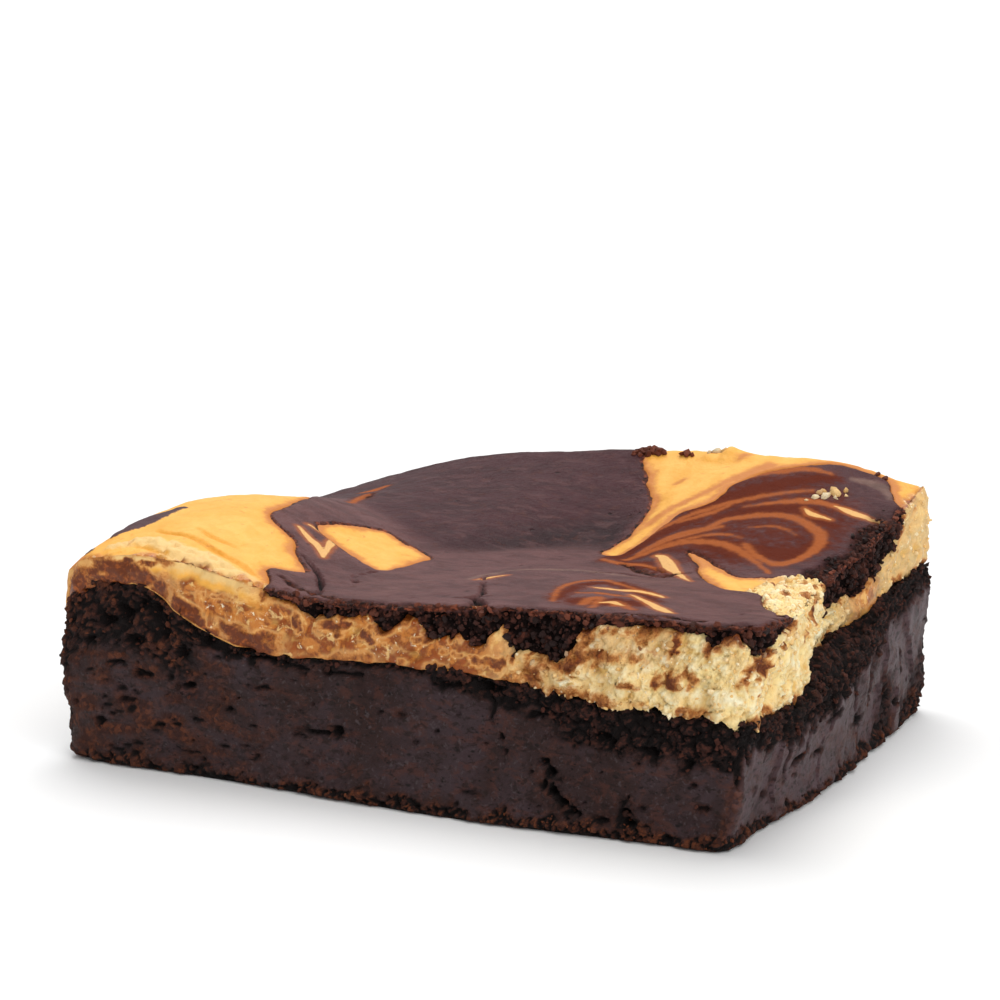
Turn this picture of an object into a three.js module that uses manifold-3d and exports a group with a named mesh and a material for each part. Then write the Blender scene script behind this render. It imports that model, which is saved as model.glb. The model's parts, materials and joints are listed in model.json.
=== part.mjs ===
// A square of marbled cheesecake brownie, cut from the corner of a tray bake.
//
// A dense chocolate base carries a pale cream-cheese layer, and a thin sheet of chocolate batter lies in
// the top of that layer, with gaps where the baked cheese shows. The cake rose against the tin, so it has
// a hump along the left side and a rim along the back, and sank towards the near right corner.
//
// Millimetres, +Z up. The origin is the middle of the flat underside. -Y is the long cut face, +X the short
// cut face, and -X and +Y are the two sides that stood against the tin.

import * as THREE from "three";
import { mergeVertices } from "three/addons/utils/BufferGeometryUtils.js";
import Module from "manifold-3d";

// Driving sizes

const LENGTH = 84;
const DEPTH = 68;
const FLOOR_HEIGHT = 21.5; // top surface at its lowest, between the hump and the rim
const BASE_HEIGHT = 15.2; // chocolate base under that
const HUMP_RISE = 7; // hump along the left tin side
const RIM_RISE = 9.2; // rim along the back tin side
const LEAST_CHEESE = 2; // cheese and sheet together, where they lie thinnest over the base
const SHEET_DEPTH = 1.2; // chocolate sheet away from the cut faces
const LAYER_GAP = 0.3; // keeps touching solids apart

const HALF_LENGTH = LENGTH / 2;
const HALF_DEPTH = DEPTH / 2;

// Features of the top surface. A mound has its middle, its half-widths and its rise; a pair of numbers is
// the stretch of x or y over which something comes in, and its first number may be the larger.

const HUMP = { x: -30, y: -13, halfDepth: 28, innerWidth: 14.5, cutWidth: 15, tinWidth: 23 };
const HUMP_WIDENS = [-34, -22]; // from the width at the long cut to the width along the tin
const SWELL = { x: 24, halfWidth: 24, rise: 2.1, fade: [-30, 10], faded: 0.5 };
const NEAR_CORNER = { x: 42, y: -34, halfWidth: 5, halfDepth: 8, rise: 1.2 };
const CREASE = { y: -3, turnAt: -9, slope: 0.62, bayX: 6, bayWidth: 9, bayDepth: 13 };
const RIM = { y: 32, start: -44, length: 20, power: 1.5, hollow: 1.15, rightDrop: 1.8, rightFrom: [28, 42] };

// Features of the base's top
const BASE_HUMP = { x: -33.5, y: -13, halfWidth: 10.3, halfDepth: 45, rise: 9.6 };
const BASE_SWELL = { x: 4, y: -34, halfWidth: 13, halfDepth: 20, rise: 0.9 };
const BASE_SAG = { depth: 1.1, alongX: [8, 30], alongY: [0, -34] };
const BASE_BACK = { rise: 4.4, alongY: [-10, 34] };
const LEDGE = { drop: 2.4, alongX: [38, 42], y: -12, halfDepth: 17 }; // crumbled edge by the short cut

// Thicker, crumbly stretches of the sheet at the two cut faces
const LONG_CUT_BAND = { fade: [-22, -33], thin: 0.8, thinFrom: [-14, -9], thinTo: [11, 7] };
const LONG_CUT_CHUNK = { thick: 2, from: [6, 10], to: [23, 20], x: 18, halfWidth: 3.5, rise: 1.6 };
const SHORT_CUT_BAND = { fade: [28, 40], thick: 2.8, from: [0, 5], to: [27, 23] };

// Sides: how far each one leans at a stated height, and what swells or spreads
const LEAN_HEIGHT = 24;
const LEAN_OUT = { near: 3.4, far: 0.8, alongY: [-34, 20] }; // short cut face
const LEAN_BACK = { near: 3.4, far: 0.4, alongX: [42, -42], fade: [10, -34] }; // long cut face
const SIDE_REACH = 14; // width over which a side is drawn in or out
const TIN_FOOT_RADIUS = 3; // rounded foot where the cake met the tin
const CUT_FOOT_RADIUS = 0.5;
const TIN_BULGE = { out: 1.7, z: 12, halfHeight: 7 }; // the tin sides swell above their foot
const CUT_BULGE = { out: 1.7, y: -3, halfDepth: 20 }; // short cut face of the base, at its middle
const FRONT_FLARE = { out: 1.8, x: 10, halfWidth: 20, fade: [9, 0] }; // foot of the long cut face
const CHEESE_INSET = { least: 0.5, most: 2.9, y: -1, halfDepth: 10 }; // beside the ledge of the base
const CRAGS = { coarse: 0.45, coarseSize: 5, fine: 0.25, fineSize: 2.6, lift: [0, 2] };

// Corner radii in plan: [near left, near right, back left, back right]
const BASE_CORNERS = [3, 1.2, 9, 2];
const UPPER_CORNERS = [3, 3, 9, 2];

// Grid of every layer
const COLUMNS = 28;
const ROWS = 22;
const BASE_LEVELS = 7;
const CHEESE_LEVELS = 3;
const EDGE_CROWDING = 0.25; // 0 spaces the grid evenly, more crowds it towards the sides

// Cutting solids
const CLEARANCE = 6; // how far one passes the cake
const UNDERCUT = 1; // what is cut away under a layer
const PRISM_HEIGHT = 60;
const CURVE_STEPS = 2; // points of an outline's curve for each of its corners

// Outline of the chocolate sheet in plan, as corners of a smooth closed curve. Where the sheet runs to a
// side of the cake, the outline passes outside it.
const SHEET_OUTLINE = [
  [-12.5, -40], [-15, -32], [-17, -28.5], [-13.8, -25.7], [-17.4, -21.8], [-19.5, -18.6], [-24.2, -16],
  [-25.3, -10], [-27, -3], [-32, 7], [-40, 14], [-50, 18], [-50, 42], [-20, 44], [1, 42],
  [4.5, 30], [7.9, 23.9], [10.3, 18.5], [10.8, 12], [9.2, 6], [11.5, 4.2], [14.4, 9.6], [15.8, 15.4],
  [18.6, 17.6], [20.2, 24.1], [25, 28.6], [32, 31], [37.6, 30.3], [40.2, 25], [46, 21], [46, 8],
  [40, 1.6], [35, -1.4], [30.2, -3.2], [24.8, 1.4], [21, 4], [23.6, 0], [27.4, -8.6], [31, -12.6],
  [35, -12.4], [38.4, -21], [50, -26], [50, -42],
];

// Outline of the tongue of cheese that shows through the sheet beside the hump
const CHEESE_TONGUE = [
  [-20.6, -11.7], [-19.1, -6], [-16.4, -1.3], [-12, -3.6], [-7.4, -6.3], [-7.1, -10.7], [-8.4, -17.8],
  [-13, -15.6],
];

// Shape functions

const { clamp, lerp } = THREE.MathUtils;

// Rises smoothly from 0 to 1 over a stretch.
function ramp([a, b], x) {
  const t = clamp((x - a) / (b - a), 0, 1);
  return t * t * (3 - 2 * t);
}

// A bell of height 1 and half-width 1.
const bell = (t) => Math.exp(-t * t);

const mound = (m, x, y) => m.rise * bell((x - m.x) / m.halfWidth) * bell((y - m.y) / m.halfDepth);

// The lower of two heights, with the corner between them rounded off.
const softMin = (a, b, round) => 0.5 * (a + b - Math.hypot(a - b, round));

// How far a rounded edge of this radius has fallen back at a distance from its side. It stops a little
// short of a full quarter circle, so that no face stands on edge.
function rounding(distance, radius) {
  const t = clamp(1 - distance / radius, 0, 1);
  return radius * (1 - Math.sqrt(1 - 0.93 * t * t));
}

// A repeatable pseudo-random number from 0 to 1 for a whole-number cell.
function cellValue(i, j, k) {
  const s = Math.sin(i * 127.1 + j * 311.7 + k * 74.7) * 43758.5453;
  return s - Math.floor(s);
}

// Smooth lumps from -1 to 1, one for each size of length.
function lumps(x, y, z, size) {
  const [i, j, k] = [x, y, z].map((t) => Math.floor(t / size));
  const [u, v, w] = [ramp([i, i + 1], x / size), ramp([j, j + 1], y / size), ramp([k, k + 1], z / size)];
  const along = (jj, kk) => lerp(cellValue(i, jj, kk), cellValue(i + 1, jj, kk), u);
  const across = (kk) => lerp(along(j, kk), along(j + 1, kk), v);
  return 2 * lerp(across(k), across(k + 1), w) - 1;
}

// Heights of the layers

// The fold where the flat floor of the top turns up into the back rim, as y for each x.
function creaseLine(x) {
  const bay = CREASE.bayDepth * bell((x - CREASE.bayX) / CREASE.bayWidth);
  return CREASE.y + CREASE.slope * Math.max(0, CREASE.turnAt - x) + bay;
}

function rimRise(x, y) {
  const full = RIM_RISE * (1 - Math.exp(-((Math.max(0, x - RIM.start) / RIM.length) ** RIM.power)));
  const height = full - RIM.rightDrop * ramp(RIM.rightFrom, x);
  const start = creaseLine(x);
  const share = clamp((y - start) / (RIM.y - start), 0, 1.1);
  return height * share ** RIM.hollow;
}

function humpRise(x, y) {
  const outerWidth = lerp(HUMP.cutWidth, HUMP.tinWidth, ramp(HUMP_WIDENS, y));
  const width = x < HUMP.x ? outerWidth : HUMP.innerWidth;
  return HUMP_RISE * bell((x - HUMP.x) / width) * bell((y - HUMP.y) / HUMP.halfDepth);
}

// Top of the whole cake: cheese and chocolate lie flush with each other.
function cakeTop(x, y) {
  const swell = SWELL.rise * bell((x - SWELL.x) / SWELL.halfWidth) * (1 - SWELL.faded * ramp(SWELL.fade, y));
  const edges = 0.7 * rounding(x + HALF_LENGTH, 4) + rounding(HALF_DEPTH - y, 3);
  return FLOOR_HEIGHT + humpRise(x, y) + swell + rimRise(x, y) + mound(NEAR_CORNER, x, y) - edges;
}

// Top of the chocolate base.
function baseTop(x, y) {
  const sag = BASE_SAG.depth * ramp(BASE_SAG.alongX, x) * ramp(BASE_SAG.alongY, y);
  const backRise = BASE_BACK.rise * ramp(BASE_BACK.alongY, y);
  const ledge = LEDGE.drop * ramp(LEDGE.alongX, x) * bell((y - LEDGE.y) / LEDGE.halfDepth);
  const edges = 0.5 * rounding(x + HALF_LENGTH, 5) + 0.6 * rounding(HALF_DEPTH - y, 4);
  const rises = mound(BASE_HUMP, x, y) + mound(BASE_SWELL, x, y) + backRise;
  return softMin(BASE_HEIGHT + rises - sag - edges - ledge, cakeTop(x, y) - LEAST_CHEESE, 1.5);
}

// Depth of the chocolate sheet: it thickens into a crumbly band at parts of the two cut faces.
function sheetDepth(x, y) {
  const thin = LONG_CUT_BAND.thin * ramp(LONG_CUT_BAND.thinFrom, x) * ramp(LONG_CUT_BAND.thinTo, x);
  const chunk = LONG_CUT_CHUNK.thick * ramp(LONG_CUT_CHUNK.from, x) * ramp(LONG_CUT_CHUNK.to, x);
  const crown = LONG_CUT_CHUNK.rise * bell((x - LONG_CUT_CHUNK.x) / LONG_CUT_CHUNK.halfWidth);
  const shortCut = SHORT_CUT_BAND.thick * ramp(SHORT_CUT_BAND.from, y) * ramp(SHORT_CUT_BAND.to, y);
  const atLongCut = ramp(LONG_CUT_BAND.fade, y) * (thin + chunk + crown);
  return SHEET_DEPTH + atLongCut + ramp(SHORT_CUT_BAND.fade, x) * shortCut;
}

// Plan and sides

// Rounds the corners of the footprint: the square of side r at each corner is pressed into a quarter disc.
function roundCorner(x, y, corners) {
  const r = corners[(y > 0 ? 2 : 0) + (x > 0 ? 1 : 0)];
  const p = Math.abs(x) - (HALF_LENGTH - r);
  const q = Math.abs(y) - (HALF_DEPTH - r);
  if (p <= 0 || q <= 0) return [x, y];
  const px = p * Math.sqrt(1 - (q * q) / (2 * r * r));
  const qy = q * Math.sqrt(1 - (p * p) / (2 * r * r));
  return [Math.sign(x) * (HALF_LENGTH - r + px), Math.sign(y) * (HALF_DEPTH - r + qy)];
}

// Moves a point of the upright block to its place in the cake: lean of the cuts, feet, bulges and relief.
// The cheese and the sheet are drawn in beside the ledge of the base.
function shapeSides(x, y, z, isBase) {
  const left = ramp([SIDE_REACH - HALF_LENGTH, -HALF_LENGTH], x);
  const right = ramp([HALF_LENGTH - SIDE_REACH, HALF_LENGTH], x);
  const front = ramp([SIDE_REACH - HALF_DEPTH, -HALF_DEPTH], y);
  const back = ramp([HALF_DEPTH - SIDE_REACH, HALF_DEPTH], y);
  const share = z / LEAN_HEIGHT;
  const out = share * lerp(LEAN_OUT.near, LEAN_OUT.far, ramp(LEAN_OUT.alongY, y));
  const backwards = share * lerp(LEAN_BACK.near, LEAN_BACK.far, ramp(LEAN_BACK.alongX, x));
  const tin = rounding(z, TIN_FOOT_RADIUS) - TIN_BULGE.out * bell((z - TIN_BULGE.z) / TIN_BULGE.halfHeight);
  const foot = rounding(z, CUT_FOOT_RADIUS);
  const flared = bell((x - FRONT_FLARE.x) / FRONT_FLARE.halfWidth) * ramp(FRONT_FLARE.fade, z);
  const bulge = CUT_BULGE.out * bell((y - CUT_BULGE.y) / CUT_BULGE.halfDepth);
  const inset = CHEESE_INSET.least + CHEESE_INSET.most * bell((y - CHEESE_INSET.y) / CHEESE_INSET.halfDepth);
  const crags = CRAGS.coarse * lumps(x, y, z, CRAGS.coarseSize) + CRAGS.fine * lumps(x, y, z, CRAGS.fineSize);
  const relief = crags * ramp(CRAGS.lift, z); // none at the foot, so that the cake stands flat
  const rightwards = (isBase ? bulge : -inset) + relief - foot;
  const forwards = FRONT_FLARE.out * flared + relief - foot;
  return [
    x + out * ramp([0, HALF_LENGTH], x) + left * (tin - relief) + right * rightwards,
    y + backwards * ramp(LEAN_BACK.fade, y) - front * forwards + back * (relief - tin),
  ];
}

// A closed layer between two height functions, as a box grid pressed into shape. With an overhang, one more
// ring of the grid stands that far outside the cake, at the height of its edge.
function layerGeometry(levels, floorOf, roofOf, isBase, overhang = 0) {
  const corners = isBase ? BASE_CORNERS : UPPER_CORNERS;
  const rings = overhang > 0 ? 2 : 0;
  const box = new THREE.BoxGeometry(2, 2, 1, COLUMNS + rings, ROWS + rings, levels);
  const place = box.getAttribute("position");
  const onCake = (t) => clamp(t, -1, 1);
  const crowd = (t) => t * (1 + EDGE_CROWDING - EDGE_CROWDING * t * t);
  const outward = (t) => (Math.abs(t) > 1.001 ? Math.sign(t) * overhang : 0);
  for (let i = 0; i < place.count; i++) {
    const u = place.getX(i) * (1 + rings / COLUMNS);
    const v = place.getY(i) * (1 + rings / ROWS);
    const [x, y] = roundCorner(crowd(onCake(u)) * HALF_LENGTH, crowd(onCake(v)) * HALF_DEPTH, corners);
    const z = lerp(floorOf(x, y), roofOf(x, y), place.getZ(i) + 0.5);
    const [sx, sy] = shapeSides(x, y, z, isBase);
    place.setXYZ(i, sx + outward(u), sy + outward(v), z);
  }
  return box;
}

// Twice the signed area of a closed outline: positive when it runs anticlockwise.
function doubleArea(points) {
  return points.reduce((sum, p, i) => {
    const q = points[(i + 1) % points.length];
    return sum + p[0] * q[1] - q[0] * p[1];
  }, 0);
}

// Points of the smooth closed curve, drawn in by an inset (or out, when it is negative).
function smoothOutline(corners, inset) {
  const curve = new THREE.CatmullRomCurve3(
    corners.map(([x, y]) => new THREE.Vector3(x, y, 0)), true, "centripetal");
  const count = corners.length * CURVE_STEPS;
  const inwards = Math.sign(doubleArea(corners)) * inset;
  return Array.from({ length: count }, (_, i) => {
    const p = curve.getPoint(i / count);
    const t = curve.getTangent(i / count);
    return new THREE.Vector2(p.x - t.y * inwards, p.y + t.x * inwards);
  });
}

// Joining and cutting

const wasm = await Module();
wasm.setup();

function toSolid(geometry) {
  const bare = geometry.clone();
  bare.deleteAttribute("normal");
  bare.deleteAttribute("uv");
  const merged = mergeVertices(bare, 1e-4);
  return new wasm.Manifold(new wasm.Mesh({
    numProp: 3,
    vertProperties: merged.attributes.position.array,
    triVerts: new Uint32Array(merged.index.array),
  }));
}

// An upright prism through the whole cake, with the plan of the chocolate sheet less the tongue of cheese.
function sheetPrism(inset) {
  const prism = (corners, drawnIn) => toSolid(new THREE.ExtrudeGeometry(
    new THREE.Shape(smoothOutline(corners, drawnIn)), { depth: PRISM_HEIGHT, bevelEnabled: false }));
  return prism(SHEET_OUTLINE, inset).subtract(prism(CHEESE_TONGUE, -inset));
}

// The largest body of a solid: scraps that a cut leaves beside it are dropped.
function largestBody(solid) {
  return solid.decompose().reduce((a, b) => (b.volume() > a.volume() ? b : a));
}

function toMesh(name, solid, material) {
  const { vertProperties, triVerts } = largestBody(solid).getMesh();
  const geometry = new THREE.BufferGeometry();
  geometry.setAttribute("position", new THREE.BufferAttribute(new Float32Array(vertProperties), 3));
  geometry.setIndex(new THREE.BufferAttribute(new Uint32Array(triVerts), 1));
  geometry.computeVertexNormals();
  const mesh = new THREE.Mesh(geometry, material);
  mesh.name = name;
  return mesh;
}

// Materials

const matt = (color, roughness) => new THREE.MeshStandardMaterial({ color, roughness, metalness: 0 });
const CAKE = matt(0x2c1d1b, 0.6);
const CHEESE = matt(0xe9c07a, 0.65);
const SHEET = matt(0x3e2826, 0.45);

// The chocolate base: its block reaches below the underside and is cut off flat there.
function makeBase() {
  const block = toSolid(layerGeometry(BASE_LEVELS, () => -UNDERCUT, baseTop, true));
  const below = new THREE.BoxGeometry(3 * LENGTH, 3 * DEPTH, 2 * UNDERCUT).translate(0, 0, -UNDERCUT);
  return block.subtract(toSolid(below));
}

const sheetFloor = (x, y) => cakeTop(x, y) - sheetDepth(x, y);

// The chocolate sheet: a thin slab under the top surface, cut to its outline.
function makeSheet() {
  return toSolid(layerGeometry(1, sheetFloor, cakeTop, false)).intersect(sheetPrism(LAYER_GAP));
}

// The cream-cheese layer: it starts inside the base and is cut off along the base's top, and a slab of the
// sheet's plan, which rises clear of the cake, is taken out of it for the sheet.
function makeCheese() {
  const block = toSolid(layerGeometry(CHEESE_LEVELS, (x, y) => baseTop(x, y) - UNDERCUT, cakeTop, false));
  const under = toSolid(layerGeometry(1, () => 0, (x, y) => baseTop(x, y) + LAYER_GAP, true, CLEARANCE));
  const slabFloor = (x, y) => sheetFloor(x, y) - LAYER_GAP;
  const slabRoof = (x, y) => cakeTop(x, y) + CLEARANCE;
  const slab = toSolid(layerGeometry(1, slabFloor, slabRoof, false, CLEARANCE));
  return block.subtract(under).subtract(slab.intersect(sheetPrism(0)));
}

const brownie = new THREE.Group();
brownie.add(
  toMesh("chocolate_base", makeBase(), CAKE),
  toMesh("cream_cheese_layer", makeCheese(), CHEESE),
  toMesh("chocolate_topping", makeSheet(), SHEET),
);

export default brownie;
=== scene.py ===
"""A square of marbled cheesecake brownie: dense chocolate base, cream-cheese layer, swirled chocolate skin.

Shapes are worked out in millimetres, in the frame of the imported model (+Z up, origin in the middle of the
flat underside), and put into the meshes in metres. -Y is the long cut face, +X the short cut face, and -X
and +Y are the sides that stood against the tin.
"""

import functools
import itertools
import json
import math

import bpy
import numpy as np
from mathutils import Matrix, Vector

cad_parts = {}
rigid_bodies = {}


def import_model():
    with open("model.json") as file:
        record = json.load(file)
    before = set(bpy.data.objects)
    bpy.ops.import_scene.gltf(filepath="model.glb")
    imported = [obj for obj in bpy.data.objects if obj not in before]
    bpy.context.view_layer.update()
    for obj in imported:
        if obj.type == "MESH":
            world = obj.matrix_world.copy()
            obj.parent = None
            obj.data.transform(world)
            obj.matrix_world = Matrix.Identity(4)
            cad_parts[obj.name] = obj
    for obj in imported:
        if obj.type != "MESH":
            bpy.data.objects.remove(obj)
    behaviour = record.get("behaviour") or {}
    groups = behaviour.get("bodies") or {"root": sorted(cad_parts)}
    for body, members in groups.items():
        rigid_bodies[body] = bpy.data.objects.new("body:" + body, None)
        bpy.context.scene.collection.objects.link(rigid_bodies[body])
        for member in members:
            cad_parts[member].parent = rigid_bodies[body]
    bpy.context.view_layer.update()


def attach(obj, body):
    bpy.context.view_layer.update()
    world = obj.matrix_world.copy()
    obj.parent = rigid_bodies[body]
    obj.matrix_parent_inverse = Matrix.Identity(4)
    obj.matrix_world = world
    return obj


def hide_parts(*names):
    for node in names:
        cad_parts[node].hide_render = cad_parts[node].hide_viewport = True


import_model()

bl_info = {
    "name": "Marbled brownie",
    "version": (1, 0, 0),
    "blender": (4, 5, 0),
    "location": "3D View > Sidebar > Brownie",
    "description": "Builds a square of marbled cheesecake brownie, layer by layer",
    "category": "Add Mesh",
}

MM = 0.001  # metres in a millimetre

# Sizes of the cake, as in its solids: half the sides, the lowest height of the top, the base's height, the
# least cheese over it, the height at which the cuts have leaned fully, how far in a side's shape reaches,
# the corner radii (left and right in front, left and right behind), and the skin away from the cuts

HALF_LENGTH, HALF_DEPTH = 42.0, 34.0
FLOOR_HEIGHT, BASE_HEIGHT, LEAST_CHEESE = 21.5, 15.2, 2.0
LEAN_HEIGHT, SIDE_REACH = 24.0, 14.0
BASE_CORNERS, UPPER_CORNERS = np.array([3.0, 1.2, 9.0, 2.0]), np.array([3.0, 3.0, 9.0, 2.0])
SKIN_THICKNESS = 0.9

# How the meshes are laid out: faces along and across the footprint, faces up the sides of each layer, insets
# of the rings on the base's top, scales of the rings that close an underside, and how far the hidden lower
# edge of the two upper layers is drawn in

COLUMNS, ROWS = 300, 220
BASE_LEVELS, CHEESE_LEVELS, SKIN_LEVELS = 68, 26, 22
TOP_INSETS = (30.0, 20.0, 12.0, 8.0, 6.0, 4.8, 3.9, 3.1, 2.5, 2.0, 1.55, 1.15, 0.8, 0.5, 0.25, 0.0)
UNDERSIDE_RINGS = (0.95, 0.6)
TUCK = 3.0

# Loose crumbs of the cake, the cheese and the skin: how many

CAKE_CRUMBS, CHEESE_CRUMBS, SKIN_CRUMBS = 5200, 1100, 1000

# Camera, fitted to the corners and edges of the square: lens and sensor in millimetres, place in metres,
# and degrees looked down and turned

LENS, SENSOR = 93.6, 36.0
EYE = (0.139013, -0.278345, 0.083207)
LOOKED_DOWN, TURNED = 9.874, 26.728

# Floor and light: half the floor's side in metres, its grey, the room's light on the cake and as the camera
# sees it, and each soft lamp's name, strength, spread in degrees and direction

FLOOR_REACH, FLOOR_GREY = 4.0, 0.86
ROOM_LIGHT, ROOM_SEEN = 0.46, 1.2
LAMPS = [("overhead", 2.1, 45, (0.26, -0.48, -1.0)), ("side", 1.6, 60, (-1.0, 0.65, -0.9))]

# Where the skin lies in plan, and the tongue of bare cheese in it: corners of smooth closed curves

SHEET_OUTLINE = [
    (-12.5, -40), (-15, -32), (-17, -28.5), (-13.8, -25.7), (-17.4, -21.8), (-19.5, -18.6), (-24.2, -16),
    (-25.3, -10), (-27, -3), (-32, 7), (-40, 14), (-50, 18), (-50, 42), (-20, 44), (1, 42), (4.5, 30),
    (7.9, 23.9), (10.3, 18.5), (10.8, 12), (9.2, 6), (11.5, 4.2), (14.4, 9.6), (15.8, 15.4),
    (18.6, 17.6), (20.2, 24.1), (25, 28.6), (32, 31), (37.6, 30.3), (40.2, 25), (46, 21), (47, 0),
    (40.6, 0.6), (35, -1.4), (30.2, -3.2), (24.8, 1.4), (21, 4), (23.6, 0), (27.4, -8.6), (31, -12.6),
    (35, -12.4), (38.4, -21), (50, -26), (50, -42),
]
CHEESE_TONGUE = [
    (-20.6, -11.7), (-19.1, -6), (-16.4, -1.3), (-12, -3.6), (-7.4, -6.3), (-7.1, -10.7), (-8.4, -17.8),
    (-13, -15.6),
]

# Strokes of the marbling in plan: points, and the half-width at the start, the middle and the end

CREAM_STROKES = [
    ([(18.6, -20.6), (21.5, -21), (23.9, -21), (27, -23.1)], (0.15, 0.6, 0.25)),
    ([(23.6, -23.4), (27.3, -27.4), (29.6, -29.6), (30.4, -30)], (0.1, 0.65, 0.2)),
    ([(17.9, 2.5), (19.3, 1.3), (22.7, -4.6), (26, -10)], (0.2, 0.8, 0.1)),
    ([(4.3, -18.4), (5.4, -17.1), (6.4, -14.7)], (0.1, 0.3, 0.1)),
    ([(34, 20.3), (37, 19.5), (40.8, 19.0)], (0.15, 0.65, 0.35)),
    ([(30.6, 18.2), (32.2, 16.9), (34.8, 16.6)], (0.1, 0.5, 0.2)),
    ([(22.4, -28.6), (23.6, -28.2), (25.2, -29.2)], (0.2, 0.45, 0.1)),
    ([(-21.1, -14.9), (-18.6, -16.6), (-16.9, -17.6), (-15.0, -19.8)], (0.2, 0.6, 0.2)),
    ([(-20.8, -12.9), (-17.4, -13.6), (-16.2, -16.4), (-15.0, -19.8)], (0.15, 0.5, 0.2)),
]
CARAMEL_STROKES = [
    ([(17.6, -29.5), (15.7, -22.6), (15.5, -16.7), (17.6, -14.6), (20.5, -17.2), (24.2, -20.8)],
      (0.2, 0.5, 0.3)),
    ([(21.1, -29.9), (20.7, -27.1), (21.6, -26.6), (22.5, -31.1)], (0.5, 0.6, 0.3)),
    ([(24.1, -30.2), (24.6, -29.1), (26.4, -30.7)], (0.3, 0.5, 0.4)),
    ([(18.4, -24.5), (21, -24.2), (25, -25)], (0.2, 0.5, 0.2)),
    ([(21, 10.1), (22.5, 13.3), (25.7, 15.1), (29.9, 15.5), (33.7, 13.6), (35.7, 11.5), (36.4, 7),
      (35.3, 3.9), (33.1, 2.6), (29.7, 3.9), (27.3, 6.6)], (0.5, 0.8, 0.5)),
    ([(23.5, 17.2), (27.1, 19.1), (30.8, 20.3), (34, 20.3)], (0.15, 0.7, 0.6)),
    ([(20.2, 24.9), (23, 26.8), (26.4, 28.4), (30.5, 28)], (0.5, 0.9, 0.3)),
    ([(15.1, 4.2), (18.7, 8.7), (22.7, 11.2)], (0.5, 1.0, 0.3)),
    ([(14.4, 2.4), (19.5, 6.4), (24.7, 6.2), (29, 3.2), (33.5, -0.3)], (0.6, 0.8, 0.3)),
    ([(11.6, 1.6), (14.5, -0.4), (17.4, -1.2), (20.4, -3.4)], (0.4, 0.9, 0.3)),
    ([(13.2, 7.4), (15.8, 12.4), (19.6, 16.6), (24.6, 20.4), (30, 23)], (0.3, 0.6, 0.3)),
    ([(17, 5.6), (22.7, 9), (26.3, 8.4)], (0.1, 0.4, 0.1)),
    ([(26, 11.6), (29.6, 12.4), (32.2, 11.2)], (0.1, 0.25, 0.1)),
    ([(16.4, 12.6), (19.4, 14.6), (22.6, 19.5)], (0.2, 0.5, 0.1)),
    ([(-30.6, 17.6), (-29.3, 22.5)], (0.4, 0.9, 0.3)),
    ([(-25.6, 5.5), (-27.4, 12), (-28.6, 17)], (0.3, 0.7, 0.2)),
]
GLAZE_STROKES = [
    ([(12.5, 3), (17, 12), (21, 19), (27, 25), (31, 27)], (1.2, 2.6, 1.2)),
    ([(14, 2), (20, 7), (27, 5), (34, 6), (36, 10)], (1.2, 2.6, 1.8)),
    ([(21, 14), (29, 17.6), (36, 15)], (1.2, 2.2, 1.4)),
    ([(17.5, -28), (16.8, -20), (19, -16.6), (24, -21), (27, -26)], (1.0, 1.6, 0.8)),
    ([(20, -28.5), (26, -28)], (1.8, 2.0, 1.4)),
    ([(12, 1), (17, -1), (22, -6)], (0.8, 1.8, 0.6)),
]
# Cracks in the skin, the faint lighter ring on it that is a painted highlight along a shallow crease, and
# where its surface flaked off

CRACKS = [
    ([(4.2, -15.7), (7.2, -23.4), (8.6, -26.6), (8.8, -29), (10.2, -31), (11.4, -34)], (0.1, 0.32, 0.7)),
    ([(6.9, -29.4), (8.6, -28.6), (10.4, -27.9)], (0.15, 0.35, 0.1)),
    ([(-16.6, -21.6), (-13.3, -24.4), (-10.2, -28.6), (-8.6, -32.0)], (0.1, 0.3, 0.15)),
    ([(-8.5, -19), (-9.2, -22.5), (-7.8, -25)], (0.05, 0.12, 0.05)),
    ([(13.6, -9), (17, -8.2), (20.6, -9.6), (23.5, -8)], (0.05, 0.16, 0.08)),
    ([(17.5, -3.2), (20, -3), (21.6, -5.6)], (0.1, 0.3, 0.1)),
]
CREASE_HIGHLIGHT = [
    ([(3.3, -18.2), (5.3, -11.4), (9.2, -8.8), (15.1, -8.5), (20.7, -11.4)], (0.3, 0.5, 0.2)),
    ([(33.4, 28.2), (36.2, 28.6), (38.2, 27.6), (39.4, 25.6)], (0.4, 1.1, 0.5)),
]
FLAKED = [
    ([(14.8, -0.9), (18.1, -4.4), (20.0, -6.4), (21.8, -8.0)], (0.3, 0.9, 0.5)),
    ([(21.8, -8.0), (22.7, -6.1), (24.4, -3.2)], (0.5, 0.6, 0.2)),
    ([(10.2, -31.4), (11.2, -33.6)], (0.4, 0.8, 1.0)),
    ([(-14.8, -29.6), (-11.0, -31.6), (-6.0, -33.0), (0.0, -33.6)], (0.2, 0.5, 0.3)),
    ([(24.6, -33.4), (29, -32.6), (34.6, -32.4)], (0.2, 0.55, 0.4)),
    ([(36.0, -14.2), (38.6, -19.4), (40.8, -24)], (0.2, 0.5, 0.6)),
    ([(-26.4, 10.6), (-28.4, 17.0)], (0.15, 0.4, 0.2)),
]
# Strokes on the bare cheese: pale crests, deeper yellow folds, islands of chocolate and browned spots

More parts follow.
